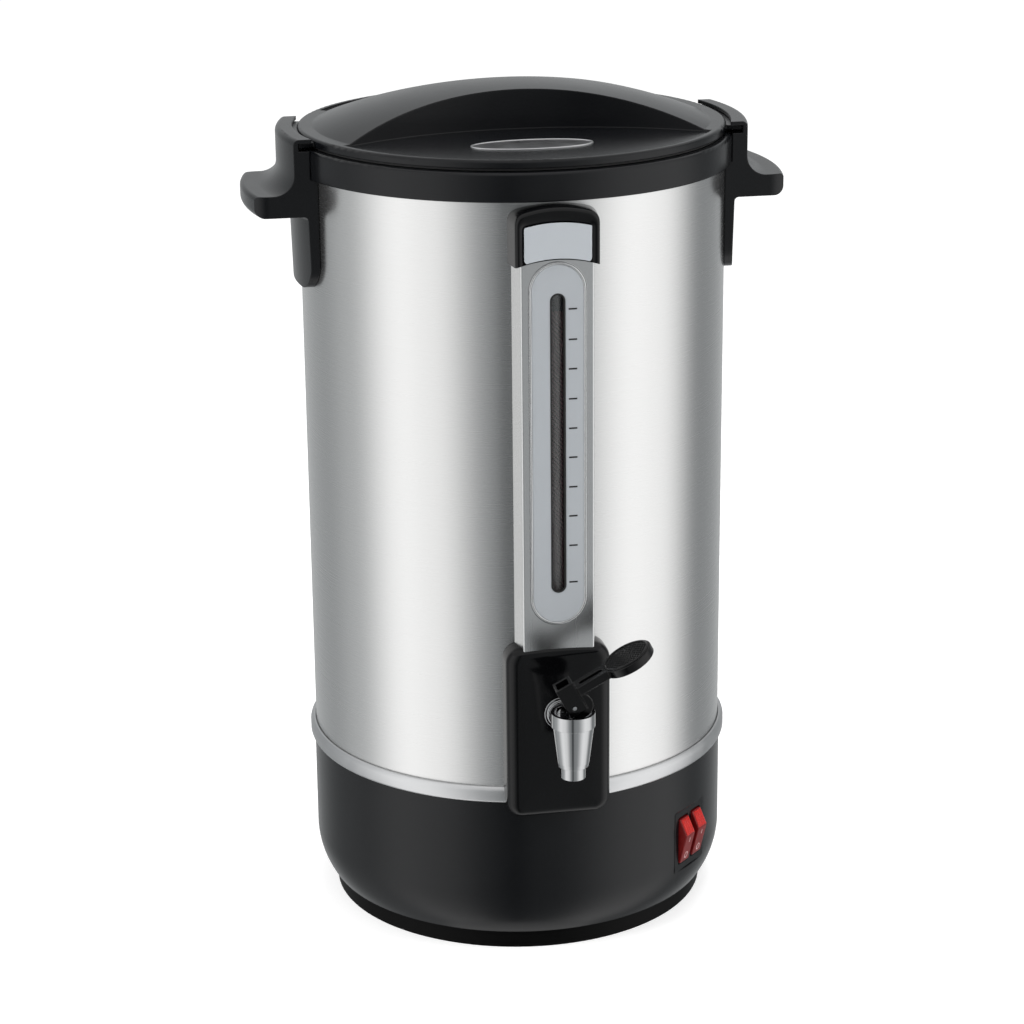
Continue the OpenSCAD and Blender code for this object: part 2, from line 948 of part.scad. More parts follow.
module gauge_channel() {
    mid = (panel_z + panel_top) / 2;
    color("#c4c6c7")
        difference() {
            union() {
                translate([0, 0, channel_z])
                    linear_extrude(channel_top - channel_z)
                        difference() {
                            channel_plan(0, channel_y);
                            channel_plan(-channel_t, channel_y - channel_t);
                            circle(r = body_r + fit, $fn = 180);
                        }
                stand(channel_y + lip_t, mid, lip_t + channel_t / 2)
                    slot_2d(panel_w + 2 * lip_w, panel_h + 2 * lip_w);
            }
            stand(channel_y + 5, mid, 5 + channel_t + 1)
                slot_2d(panel_w + 2 * fit, panel_h + 2 * fit);
        }
}

module gauge_panel() {
    mid = (panel_z + panel_top) / 2;
    slot_mid = (slot_z + slot_top) / 2;
    color("#8d98a3")
        difference() {
            union() {
                stand(channel_y + panel_proud, mid, panel_proud + channel_t)
                    slot_2d(panel_w, panel_h);
                stand(channel_y - channel_t, mid, panel_flange_t)
                    slot_2d(panel_w + 2 * panel_flange, panel_h + 2 * panel_flange);
            }
            stand(channel_y + 5, slot_mid, 5 + channel_t + panel_flange_t + 1)
                slot_2d(slot_w + 2 * trim_w + 2 * fit, slot_top - slot_z + 2 * trim_w + 2 * fit);
        }
}

module slot_trim() {
    slot_mid = (slot_z + slot_top) / 2;
    color("#101012")
        stand(channel_y + panel_proud + 0.4, slot_mid, panel_proud + 0.4 + channel_t + panel_flange_t)
            difference() {
                slot_2d(slot_w + 2 * trim_w, slot_top - slot_z + 2 * trim_w);
                slot_2d(slot_w, slot_top - slot_z);
            }
}

module gauge_backing() {
    color("#8c2622")
        translate([-backing_w / 2, -backing_y - backing_t, slot_z - 8])
            cube([backing_w, backing_t, slot_top - slot_z + 14]);
}

module sight_tube() {
    color("#cfd8da")
        translate([0, -tube_y, tube_low])
            difference() {
                cylinder(r = tube_r, h = tube_top - tube_low);
                translate([0, 0, -1])
                    cylinder(r = tube_r - tube_wall, h = tube_top - tube_low + 2);
            }
}

module gauge_elbow() {
    color("#b99a55")
        difference() {
            union() {
                translate([0, -tube_y, elbow_low])
                    cylinder(r = elbow_r, h = elbow_top - elbow_low);
                bar_y(elbow_shank_d / 2, tube_y, tank_in_r - 14, elbow_z);
            }
            translate([0, -tube_y, tube_low - fit])
                cylinder(r = socket_r, h = elbow_top);
            translate([0, -tube_y, elbow_z])
                cylinder(d = elbow_bore, h = elbow_top - elbow_z);
            bar_y(elbow_bore / 2, tube_y, tank_in_r - 20, elbow_z);
        }
}

// Distance from the axis of a flat washer of radius r that lies inside the tank wall
function washer_y(r) = sqrt(tank_in_r * tank_in_r - r * r) - fit;

module gauge_seals() {
    color("#c9c6bd") {
        for (z = [tube_low + 1, tube_top - cap_socket_l + 4])
            translate([0, -tube_y, z])
                difference() {
                    cylinder(r = tube_r + seal_t, h = 6);
                    translate([0, 0, -1])
                        cylinder(r = tube_r + fit / 2, h = 8);
                }
        difference() {
            bar_y(elbow_nut_w / 2 + 1, washer_y(elbow_nut_w / 2 + 1),
                washer_y(elbow_nut_w / 2 + 1) - washer_t, elbow_z);
            bar_y(elbow_shank_d / 2 + fit, body_r, 0, elbow_z);
        }
    }
}

// Hexagon nut of width w and thickness t round a bar of radius r, its outer face at distance y
module hex_nut(w, t, r, y, z) {
    translate([0, -y, z])
        rotate([-90, 0, 0])
            difference() {
                cylinder(d = w / cos(30), h = t, $fn = 6);
                translate([0, 0, -1])
                    cylinder(r = r + fit, h = t + 2);
            }
}

module gauge_nut() {
    color("#b99a55")
        hex_nut(elbow_nut_w, elbow_nut_t, elbow_shank_d / 2,
            washer_y(elbow_nut_w / 2 + 1) - washer_t, elbow_z);
}

// Outline of the label plate, grown by d, its lower corners on y = 0
module label_2d(d) {
    arch_r = (plate_w * plate_w / 4 + plate_arch * plate_arch) / (2 * plate_arch);
    difference() {
        translate([0, -d])
            arched_2d(plate_w + 2 * d, plate_h + 2 * d, plate_round, plate_rise);
        translate([0, plate_arch - arch_r])
            circle(r = arch_r - d, $fn = 180);
    }
}

module gauge_cap() {
    arch_r = (cap_w * cap_w / 4 + cap_hollow * cap_hollow) / (2 * cap_hollow);
    color("#141416")
        difference() {
            union() {
                difference() {
                    intersection() {
                        translate([0, 0, cap_z])
                            linear_extrude(cap_h)
                                difference() {
                                    cover_plan(cap_w, cap_flare, cap_y, body_r - 8, cap_round);
                                    circle(r = body_r + fit, $fn = 180);
                                }
                        stand(cap_y + 5, cap_z, 60)
                            difference() {
                                arched_2d(cap_w + 2 * cap_flare + 2, cap_h, 5, cap_arch);
                                translate([0, cap_hollow - arch_r])
                                    circle(r = arch_r, $fn = 180);
                            }
                    }
                    translate([0, 0, cap_z - 1])
                        linear_extrude(cap_h - cap_roof + 1)
                            channel_plan(2 * fit, channel_y + 2 * fit);
                }
                translate([0, -tube_y, tube_top - cap_socket_l])
                    cylinder(r = elbow_r, h = cap_top - cap_roof - tube_top + cap_socket_l + eps);
            }
            translate([0, -tube_y, tube_top - cap_socket_l - 1])
                cylinder(r = socket_r, h = cap_socket_l + 1 + fit);
            stand(cap_y + 5, cap_z + plate_low, 5 + plate_sink)
                label_2d(fit);
        }
}

module cap_plate() {
    color("#aab3bb")
        stand(cap_y - plate_sink + plate_t, cap_z + plate_low, plate_t)
            label_2d(0);
}

// Tap shield

// Body that the shield lies against
module shield_backing() {
    low = base_top - 1.4 - 2 * fit;
    high = base_top + band_h + 2 * fit;
    gap = 2 * fit;
    rotate_extrude($fn = 180)
        polygon([[0, shield_z - 20], [base_r + gap, shield_z - 20], [base_r + gap, low], [band_r + gap, low],
            [band_r + gap, high], [body_r + gap, high], [body_r + gap, shield_top + 20], [0, shield_top + 20]]);
}

// Way for the channel's lower end through the shield's top, with clearance d
module channel_way(d) {
    half = channel_w / 2 + d;
    polygon([[-half, -channel_y - d], [half, -channel_y - d],
        [half + channel_flare, 8 - body_r], [-half - channel_flare, 8 - body_r]]);
}

// Block of the shield drawn in by d
module shield_block(d) {
    h = shield_h - 2 * d;
    intersection() {
        translate([0, 0, shield_z])
            linear_extrude(shield_h)
                cover_plan(shield_w - 2 * d, 0, shield_y - d, body_r - 12, shield_round - d);
        stand(shield_y + 5, shield_z + d, 60)
            arched_2d(shield_w + 4 - 2 * d, h, shield_corner - d, shield_arch);
    }
}

module tap_shield() {
    color("#121214")
        difference() {
            union() {
                difference() {
                    shield_block(0);
                    shield_block(shield_wall);
                }
                bar_y(shank_r + 2 * fit + shield_boss_w, shield_y - shield_wall / 2, body_r - 6, tap_z);
            }
            shield_backing();
            bar_y(shank_r + 2 * fit, shield_y + 5, body_r - 20, tap_z);
            translate([0, 0, channel_z - 1])
                linear_extrude(shield_h)
                    channel_way(2 * fit);
        }
}

// Tap

module tap_flange() {
    color("#d5d7d9")
        difference() {
            union() {
                bar_y(flange_d / 2, shield_y + flange_disc_t, shield_y, tap_z);
                bar_y(flange_step_d / 2, shield_y + flange_disc_t + flange_step_t, shield_y, tap_z);
            }
            bar_y(shank_r + fit, shield_y + 20, shield_y - 5, tap_z);
        }
}

module tap_body() {
    color("#d5d7d9")
        translate([0, -tap_y, 0])
            difference() {
                union() {
                    rotate_extrude()
                        polygon([[0, nozzle_z], [nozzle_d / 2, nozzle_z],
                            [nozzle_d / 2, cup_low - cup_shoulder],
                            [cup_low_r - 0.6, cup_low - cup_shoulder], [cup_low_r, cup_low],
                            [cup_r - cup_step, cup_top - cup_rim_h], [cup_r, cup_top - cup_rim_h],
                            [cup_r, cup_top], [0, cup_top]]);
                    translate([0, 0, tap_z])
                        rotate([-90, 0, 0])
                            cylinder(r = shank_r, h = tap_y - shank_end);
                }
                translate([0, 0, nozzle_z - 1])
                    cylinder(d = nozzle_bore, h = nozzle_l + cup_shoulder);
                translate([0, 0, nozzle_z])
                    cylinder(r = seat_r, h = cup_top - nozzle_z);
                translate([0, 0, chamber_z])
                    cylinder(r1 = chamber_low_r, r2 = chamber_r, h = bonnet_z - chamber_z);
                translate([0, 0, bonnet_z])
                    cylinder(r = bonnet_r, h = cup_top - bonnet_z + 1);
                translate([0, 0, tap_z])
                    rotate([-90, 0, 0])
                        cylinder(d = shank_bore, h = tap_y - shank_end + 1);
            }
}

module tap_spacer() {
    color("#c9c6bd")
        difference() {
            bar_y(shank_r + 3, body_r, tank_r - 2, tap_z);
            bar_y(shank_r + fit, body_r + 5, tank_r - 20, tap_z);
            translate([0, 0, tap_z - 30])
                cylinder(r = tank_r + fit, h = 60, $fn = 180);
            translate([0, 0, tap_z - 30])
                difference() {
                    cylinder(r = body_r + 10, h = 60, $fn = 180);
                    translate([0, 0, -1])
                        cylinder(r = jacket_in_r - fit, h = 62, $fn = 180);
                }
        }
}

module tap_seal() {
    r = nut_w / 2 + 1;
    color("#c9c6bd")
        difference() {
            bar_y(r, washer_y(r), washer_y(r) - washer_t, tap_z);
            bar_y(shank_r + fit, body_r, 0, tap_z);
        }
}

module tap_nut() {
    color("#b99a55")
        hex_nut(nut_w, nut_t, shank_r, washer_y(nut_w / 2 + 1) - washer_t, tap_z);
}

module tap_bonnet() {
    color("#d5d7d9")
        translate([0, -tap_y, bonnet_z])
            difference() {
                cylinder(r = bonnet_r - fit, h = bonnet_t);
                translate([0, 0, -1])
                    cylinder(r = stem_r + run, h = bonnet_t + 2);
            }
}

module cam_washer() {
    color("#17171a")
        translate([0, -tap_y, cam_z])
            difference() {
                cylinder(d = cam_d, h = cam_t);
                translate([0, 0, -1])
                    cylinder(r = stem_r + run, h = cam_t + 2);
            }
}

module tap_stem() {
    color("#bfc1c3")
        translate([0, -tap_y, 0])
            difference() {
                union() {
                    translate([0, 0, plug_z + 1])
                        cylinder(r = stem_r, h = pin_z - plug_z - 1);
                    translate([0, -clevis_half, pin_z])
                        rotate([-90, 0, 0])
                            cylinder(r = eye_r, h = 2 * clevis_half);
                }
                translate([0, -10, pin_z])
                    rotate([-90, 0, 0])
                        cylinder(d = pin_d + 2 * run, h = 20);
            }
}

module tap_plug() {
    color("#d9d5cb")
        translate([0, -tap_y, plug_z])
            difference() {
                union() {
                    cylinder(r1 = plug_r - 1, r2 = plug_r, h = 2);
                    translate([0, 0, 2])
                        cylinder(r = plug_r, h = plug_h - 2);
                }
                translate([0, 0, 1])
                    cylinder(r = stem_r + fit / 2, h = plug_h);
            }
}

// Point of the spring's wire ring: turn t in degrees along the helix, side a in degrees round the wire
function spring_point(t, a) = let (
        r = spring_r + spring_wire / 2 * cos(a),
        rise = spring_z + (spring_end - spring_z) * t / (360 * spring_turns)
    ) [r * cos(t), r * sin(t), rise + spring_wire / 2 * sin(a)];

module tap_spring() {
    rings = spring_turns * 10;
    sides = 6;
    points = [for (i = [0 : rings], k = [0 : sides - 1])
        spring_point(i * 360 * spring_turns / rings, k * 360 / sides)];
    walls = [for (i = [0 : rings - 1], k = [0 : sides - 1], half = [0, 1])
        let (a = i * sides + k, b = i * sides + (k + 1) % sides)
            half == 0 ? [a, b, b + sides] : [a, b + sides, a + sides]];
    start = [for (k = [1 : sides - 2]) [0, k + 1, k]];
    last = rings * sides;
    finish = [for (k = [1 : sides - 2]) [last, last + k, last + k + 1]];
    color("#a8aaac")
        translate([0, -tap_y, 0])
            polyhedron(points, concat(walls, start, finish));
}

// Four-arc oval of length l and width w
module oval_2d(l, w) {
    r = min(paddle_end_r, w / 2 - 1);
    a = l / 2;
    b = w / 2;
    side = (a * a + b * b - 2 * a * r) / (2 * (b - r));
    reach = (a - r) + r * (a - r) / norm([a - r, side - b]);
    intersection() {
        square([2 * reach, w], center = true);
        translate([0, b - side])
            circle(r = side);
        translate([0, side - b])
            circle(r = side);
    }
    for (s = [-1, 1])
        translate([s * (a - r), 0])
            circle(r = r);
}

module tap_lever() {
    color("#1a1a1c")
        translate([0, -tap_y, pin_z])
            difference() {
                union() {
                    translate([cam_e * cos(cam_swing), -lever_half, cam_e * sin(cam_swing)])
                        rotate([-90, 0, 0])
                            cylinder(r = cam_r, h = 2 * lever_half);
                    rotate([0, -lever_angle, 0]) {
                        translate([-head_back, -head_half, head_low])
                            cube([head_back + head_x, 2 * head_half, head_top - head_low]);
                        translate([0, -arm_half, arm_low])
                            cube([paddle_x, 2 * arm_half, lever_t]);
                        translate([paddle_x, 0, arm_low])
                            linear_extrude(lever_t)
                                oval_2d(paddle_l, paddle_w);
                    }
                }
                rotate([0, -lever_angle, 0]) {
                    translate([-head_back + 2, -head_half + 2.5, head_top - 5])
                        cube([8.5, 2 * head_half - 5, 10]);
                    translate([head_x + 3 + arm_slot_l / 2, 0, arm_low + lever_t - arm_slot_depth])
                        rotate(90)
                            linear_extrude(10)
                                slot_2d(arm_slot_w, arm_slot_l);
                }
                translate([-head_back - eye_r, -clevis_half - clevis_gap, -20])
                    cube([2 * (head_back + eye_r), 2 * (clevis_half + clevis_gap), 20]);
                translate([0, -clevis_half - clevis_gap, 0])
                    rotate([-90, 0, 0])
                        cylinder(r = eye_r + 1, h = 2 * (clevis_half + clevis_gap));
                translate([0, -10, 0])
                    rotate([-90, 0, 0])
                        cylinder(d = pin_d + 2 * run, h = 20);
            }
}

module lever_pin() {
    color("#c6c8ca")
        translate([0, -tap_y - lever_half - 0.4, pin_z])
            rotate([-90, 0, 0])
                cylinder(d = pin_d, h = 2 * lever_half + 0.8);
}

// Switches

module switch_plate() {
    color("#26282b")
        at_switch()
            difference() {
                union() {
                    translate([0, 0, -switch_flange_t])
                        linear_extrude(switch_flange_t)
                            round_rect(switch_w, switch_h, switch_round);
                    translate([-plate_skirt_w / 2, -plate_skirt_h / 2, -plate_skirt])
                        cube([plate_skirt_w, plate_skirt_h, plate_skirt - switch_flange_t + eps]);
                }
                for (s = [-1, 1])
                    translate([s * rocker_pitch / 2, 0, 0]) {
                        translate([-rocker_w / 2 - move_gap, -rocker_swing - move_gap, -plate_skirt - 1])
                            cube([rocker_w + 2 * move_gap, 2 * (rocker_swing + move_gap), plate_skirt + 2]);
                        translate([-rocker_w / 2 - rocker_nub_l - move_gap, 0, -rocker_pivot])
                            rotate([0, 90, 0])
                                cylinder(d = rocker_nub_d + 2 * run,
                                    h = rocker_w + 2 * (rocker_nub_l + move_gap));
                    }
            }
}

module switch_bodies() {
    color("#2a2a2c")
        at_switch()
            for (s = [-1, 1])
                translate([s * rocker_pitch / 2, 0, 0]) {
                    translate([-rocker_w / 2 - 1, -plate_skirt_h / 2, -plate_skirt - switch_depth])
                        cube([rocker_w + 2, plate_skirt_h, switch_depth]);
                    for (i = [-1 : 1])
                        translate([-terminal_w / 2, i * 11 - terminal_t / 2, -plate_skirt - switch_depth])
                            translate([0, 0, -terminal_l])
                                cube([terminal_w, terminal_t, terminal_l + 1]);
                }
}

// Rocker with a ridge above its middle, on side nubs
module rocker() {
    translate([-rocker_w / 2, 0, 0])
        rotate([90, 0, 90])
            linear_extrude(rocker_w)
                polygon([[rocker_h / 2, 0.8], [rocker_h * 0.15, rocker_ridge], [-rocker_h / 2, 1],
                    [1 - rocker_h / 2, -rocker_back], [rocker_h / 2 - 1, -rocker_back]]);
    translate([-rocker_w / 2 - rocker_nub_l, 0, -rocker_pivot])
        rotate([0, 90, 0])
            cylinder(d = rocker_nub_d, h = rocker_w + 2 * rocker_nub_l);
}

module rocker_left() {
    color("#b3221c")
        at_switch()
            translate([-rocker_pitch / 2, 0, 0])
                rocker();
}

module rocker_right() {
    color("#b3221c")
        at_switch()
            translate([rocker_pitch / 2, 0, 0])
                rocker();
}

// Appliance inlet

// Mouth of the inlet: a rectangle with two cut corners
module inlet_mouth() {
    w = inlet_hole_w / 2;
    h = inlet_hole_h / 2;
    c = inlet_chamfer;
    polygon([[-w, -h], [w, -h], [w, h - c], [w - c, h], [c - w, h], [-w, h - c]]);
}

module inlet_socket() {
    color("#1d1d1f")
        at_inlet()
            difference() {
                union() {
                    translate([0, 0, -plate_flange_t])
                        linear_extrude(plate_flange_t)
                            round_rect(inlet_w, inlet_h, 4);
                    translate([-inlet_body_w / 2, -inlet_body_h / 2, -inlet_depth])
                        cube([inlet_body_w, inlet_body_h, inlet_depth]);
                }
                translate([0, 0, -inlet_hole_depth])
                    linear_extrude(inlet_hole_depth + 1)
                        inlet_mouth();
                for (s = [-1, 1])
                    translate([s * inlet_screw_x, 0, -10])
                        cylinder(d = screw_d + 2 * fit, h = 20);
                for (i = [-1 : 1])
                    translate([i * inlet_pin_pitch, inlet_pin_y(i), -inlet_depth - 1])
                        cube([2 + 2 * fit, 4 + 2 * fit, 2 * inlet_depth], center = true);
            }
}

// Height of an inlet pin above the inlet's middle
function inlet_pin_y(i) = i == 0 ? 2 : -2;

module inlet_pins() {
    color("#c2b06a")
        at_inlet()
            for (i = [-1 : 1])
                translate([i * inlet_pin_pitch - 1, inlet_pin_y(i) - 2, -inlet_depth - terminal_l])
                    cube([2, 4, inlet_depth + terminal_l - 3]);
}

module inlet_screws() {
    color("#8a8c8e")
        at_inlet()
            for (s = [-1, 1])
                translate([s * inlet_screw_x, 0, 0]) {
                    cylinder(d = screw_head_d, h = screw_head_t * 0.8);
                    translate([0, 0, -12])
                        cylinder(d = screw_d, h = 12);
                }
}

// Lid

// Space that fingers reach into in front of the grip bar, moved out by d
module finger_space(d) {
    translate([0, -bar_c, 0])
        cylinder(r = bar_round + d, h = 2 * collar_top, $fn = 180);
}

module lid_shell() {
    color("#1b1b1d")
        difference() {
            union() {
                intersection() {
                    translate([0, 0, dome_c])
                        sphere(r = dome_r, $fn = 180);
                    translate([0, 0, rim_z])
                        cylinder(r = rim_r - rim_round, h = lid_crown + 20, $fn = 144);
                }
                rotate_extrude($fn = 144)
                    union() {
                        translate([0, rim_z])
                            square([rim_r - rim_round, rim_t]);
                        translate([0, rim_z])
                            square([rim_r, rim_t - rim_round]);
                        translate([rim_r - rim_round, rim_top - rim_round])
                            circle(r = rim_round);
                    }
                for (s = [0, 180])
                    rotate_extrude(angle = 2 * lug_angle, start = s - lug_angle, $fn = 144)
                        translate([rim_r - 8, rim_z])
                            square([lug_r - rim_r + 8, lug_t]);
            }
            for (turn = [0, 180])
                rotate(turn)
                    intersection() {
                        finger_space(0);
                        translate([0, 0, floor_z])
                            cylinder(r = floor_r, h = lid_crown + 20, $fn = 144);
                    }
            difference() {
                intersection() {
                    translate([0, 0, dome_c])
                        sphere(r = dome_r - lid_wall, $fn = 180);
                    translate([0, 0, rim_z - 1])
                        cylinder(r = lid_in_r, h = lid_crown + 20, $fn = 144);
                }
                finger_space(lid_wall);
                rotate(180)
                    finger_space(lid_wall);
                for (s = [-1, 1])
                    translate([s * lid_boss_x, 0, rim_z - 2])
                        cylinder(d = boss_d - 1, h = lid_crown + 20);
            }
            for (s = [-1, 1])
                translate([s * lid_boss_x, 0, rim_z - 1])
                    cylinder(d = screw_d + 2 * fit, h = lid_screw_l + 3);
        }
}

module lid_pan() {
    color("#cfd0d1")
        difference() {
            translate([0, 0, rim_z - skirt_h])
                cylinder(r = pan_lid_r, h = skirt_h, $fn = 144);
            translate([0, 0, rim_z - skirt_h - 1])
                cylinder(r = pan_lid_r - pan_lid_t, h = skirt_h + 1 - pan_lid_t, $fn = 144);
            for (s = [-1, 1])
                translate([s * lid_boss_x, 0, rim_z - pan_lid_t - 1])
                    cylinder(d = screw_d + 2 * fit, h = pan_lid_t + 2);
        }
}

module lid_gasket() {
    color("#2b2b2d")
        rotate_extrude($fn = 144)
            translate([gasket_in, rim_z - gasket_t])
                square([gasket_out - gasket_in, gasket_t]);
}

module lid_screws() {
    color("#8a8c8e")
        for (s = [-1, 1])
            translate([s * lid_boss_x, 0, rim_z - pan_lid_t - screw_head_t]) {
                cylinder(d = screw_head_d, h = screw_head_t);
                cylinder(d = screw_d, h = screw_head_t + pan_lid_t + lid_screw_l);
            }
}

foot_ring();
bottom_pan();
bottom_screws();
base_housing();
trim_band();
outer_body();
inner_tank();
collar();
handle_left();
handle_right();
handle_screws();
heat_plate();
heating_element();
keep_warm_element();
thermostat();
thermal_cutout();
tie_rods();
tie_nuts();
terminal_block();
gauge_channel();
gauge_panel();
slot_trim();
gauge_backing();
sight_tube();
gauge_elbow();
gauge_seals();
gauge_nut();
gauge_cap();
cap_plate();
tap_shield();
tap_flange();
tap_body();
tap_spacer();
tap_seal();
tap_nut();
tap_bonnet();
cam_washer();
tap_stem();
tap_plug();
tap_spring();
tap_lever();
lever_pin();
switch_plate();
switch_bodies();
rocker_left();
rocker_right();
inlet_socket();
inlet_pins();
inlet_screws();
lid_shell();
lid_pan();
lid_gasket();
lid_screws();
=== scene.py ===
"""Looks of a hot water urn: finishes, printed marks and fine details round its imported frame."""

import json
import logging
import math
from dataclasses import dataclass, field
from enum import Enum

import bmesh
import bpy
from mathutils import Matrix, Vector

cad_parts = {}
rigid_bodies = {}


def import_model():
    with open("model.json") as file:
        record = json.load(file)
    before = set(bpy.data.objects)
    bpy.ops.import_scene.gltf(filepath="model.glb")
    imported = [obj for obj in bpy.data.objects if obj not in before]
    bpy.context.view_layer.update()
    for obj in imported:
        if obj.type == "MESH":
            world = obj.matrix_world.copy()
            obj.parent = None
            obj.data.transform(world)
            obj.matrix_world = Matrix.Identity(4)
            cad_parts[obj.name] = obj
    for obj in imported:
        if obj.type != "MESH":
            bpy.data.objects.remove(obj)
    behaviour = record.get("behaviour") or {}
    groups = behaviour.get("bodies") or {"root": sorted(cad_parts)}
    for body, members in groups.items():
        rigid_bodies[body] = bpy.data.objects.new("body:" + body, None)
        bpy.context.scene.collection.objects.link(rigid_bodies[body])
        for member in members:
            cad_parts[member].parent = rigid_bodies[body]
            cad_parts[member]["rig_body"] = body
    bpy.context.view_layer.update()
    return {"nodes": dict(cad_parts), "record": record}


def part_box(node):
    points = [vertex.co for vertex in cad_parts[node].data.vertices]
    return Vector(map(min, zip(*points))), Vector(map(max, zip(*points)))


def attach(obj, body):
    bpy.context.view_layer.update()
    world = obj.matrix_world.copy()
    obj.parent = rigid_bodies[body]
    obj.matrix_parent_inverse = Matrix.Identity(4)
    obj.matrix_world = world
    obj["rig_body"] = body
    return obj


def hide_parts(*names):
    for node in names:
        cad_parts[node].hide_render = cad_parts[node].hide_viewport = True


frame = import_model()
LOG = logging.getLogger("urn")
MM = 0.001

Colour = tuple[float, float, float]
Point = tuple[float, float, float]


class Brush(Enum):
    """Direction in which a metal sheet was brushed."""

    ROUND = "round the body"
    LENGTH = "up and down"


class Ride(Enum):
    """Bodies of the frame that dressed pieces move with."""

    URN = "urn"
    LID = "lid"
    LEVER = "lever"
    ROCKER_LEFT = "rocker_left"
    ROCKER_RIGHT = "rocker_right"


def stitch(mesh: bmesh.types.BMesh, rows: list[list[bmesh.types.BMVert]], ring: bool = False) -> None:
    """Join closed rows of points with faces.

    Args:
        mesh: mesh data that takes the faces.
        rows: closed rows with the same number of points.
        ring: whether the last row joins the first.
    """
    following = rows[1:] + rows[:1] if ring else rows[1:]
    for lower, upper in zip(rows, following):
        for index, point in enumerate(lower):
            after = (index + 1) % len(lower)
            mesh.faces.new((point, lower[after], upper[after], upper[index]))


class Graph:
    """Adds and links shader nodes in one node tree."""

    def __init__(self, tree: bpy.types.NodeTree) -> None:
        """Take over a node tree and clear it.

        Args:
            tree: node tree of a material or world.
        """
        self.tree = tree
        tree.nodes.clear()

    def add(self, kind: str, **settings: object) -> bpy.types.Node:
        """Add a node.

        Args:
            kind: Blender's name of the node type, without its ShaderNode prefix.
            settings: node properties, or input sockets by name with spaces as underscores.

        Returns:
            The new node.
        """
        node = self.tree.nodes.new("ShaderNode" + kind)
        for key, value in settings.items():
            if hasattr(node, key):
                setattr(node, key, value)
            else:
                self.put(value, node.inputs[key.replace("_", " ")])
        return node

    def put(self, value: object, socket: bpy.types.NodeSocket) -> None:
        """Link a socket to an input, or set the input's own value."""
        if isinstance(value, bpy.types.NodeSocket):
            self.tree.links.new(value, socket)
        elif socket.type == "RGBA" and len(value) == 3:
            socket.default_value = (*value, 1.0)
        else:
            socket.default_value = value

    def math(self, operation: str, first: object, second: object = 0.0) -> bpy.types.NodeSocket:
        """Combine two values.

        Args:
            operation: Blender's name of the operation.
            first: number or socket.
            second: number or socket.

        Returns:
            The result's socket.
        """
        node = self.add("Math", operation=operation)
        self.put(first, node.inputs[0])
        self.put(second, node.inputs[1])
        return node.outputs[0]

    def spread(self, value: bpy.types.NodeSocket, low: float, high: float) -> bpy.types.NodeSocket:
        """Map a value from 0 to 1 onto a range.

        Args:
            value: socket that holds the value.
            low: result at 0.
            high: result at 1.

        Returns:
            The result's socket.
        """
        node = self.add("MapRange", To_Min=low, To_Max=high)
        self.put(value, node.inputs["Value"])
        return node.outputs["Result"]

    def blend(self, factor: bpy.types.NodeSocket, first: object, second: object) -> bpy.types.NodeSocket:
        """Mix two colours.

        Args:
            factor: socket from 0 to 1.
            first: colour or socket at 0.
            second: colour or socket at 1.

        Returns:
            The colour's socket.
        """
        node = self.add("Mix", data_type="RGBA")
        self.put(factor, node.inputs["Factor"])
        self.put(first, node.inputs[6])
        self.put(second, node.inputs[7])
        return node.outputs[2]

    def noise(self, vector: bpy.types.NodeSocket, scale: float, detail: float = 2.0) -> bpy.types.NodeSocket:
        """Add noise.

        Args:
            vector: coordinates.
            scale: cells per metre, or per unit of the coordinates.
            detail: number of finer layers.

        Returns:
            The noise value's socket.
        """
        node = self.add("TexNoise", Scale=scale, Detail=detail)
        self.put(vector, node.inputs["Vector"])
        return node.outputs["Fac"]

    def place(self) -> bpy.types.NodeSocket:
        """Coordinates of the piece in its own frame, in metres."""
        return self.add("TexCoord").outputs["Object"]

    def stretched(self, scale: Point) -> bpy.types.NodeSocket:
        """Coordinates stretched along the axes.

        Args:
            scale: factor along X, Y and Z.

        Returns:
            The coordinates' socket.
        """
        node = self.add("Mapping", Scale=scale)
        self.put(self.place(), node.inputs["Vector"])
        return node.outputs["Vector"]

    def wrapped(self, round_scale: float, height_scale: float) -> bpy.types.NodeSocket:
        """Coordinates wrapped round the Z axis.

        Args:
            round_scale: factor per radian.
            height_scale: factor per metre of height.

        Returns:
            The coordinates' socket.
        """
        split = self.add("SeparateXYZ")
        self.put(self.place(), split.inputs[0])
        turn = self.math("ARCTAN2", split.outputs["Y"], split.outputs["X"])
        join = self.add("CombineXYZ")
        self.put(self.math("MULTIPLY", turn, round_scale), join.inputs["X"])
        self.put(self.math("MULTIPLY", split.outputs["Z"], height_scale), join.inputs["Y"])
        return join.outputs[0]

    def bump(self, height: bpy.types.NodeSocket, strength: float, depth_mm: float,
             edge_mm: float = 0.0) -> bpy.types.NodeSocket:
        """Turn a height into a normal, over rounded edges.

        Args:
            height: socket of the height.
            strength: share of the effect.
            depth_mm: depth of the relief.
            edge_mm: radius that edges are shaded with.

        Returns:
            The normal's socket.
        """
        node = self.add("Bump", Strength=strength, Distance=depth_mm * MM)
        self.put(height, node.inputs["Height"])
        if edge_mm:
            self.put(self.add("Bevel", samples=6, Radius=edge_mm * MM).outputs[0], node.inputs["Normal"])
        return node.outputs[0]


@dataclass(frozen=True)
class Finish:
    """Base of all finishes."""

    def build(self, name: str) -> bpy.types.Material:
        """Make the material.

        Args:
            name: name of the material.

        Returns:
            The material.
        """
        material = bpy.data.materials.new(name)
        material.use_nodes = True
        graph = Graph(material.node_tree)
        shader = graph.add("BsdfPrincipled")
        output = graph.add("OutputMaterial")
        graph.put(shader.outputs[0], output.inputs["Surface"])
        self.dress(graph, shader)
        return material

    def dress(self, graph: Graph, shader: bpy.types.Node) -> None:
        """Set up the shader; each finish has its own."""
        raise NotImplementedError


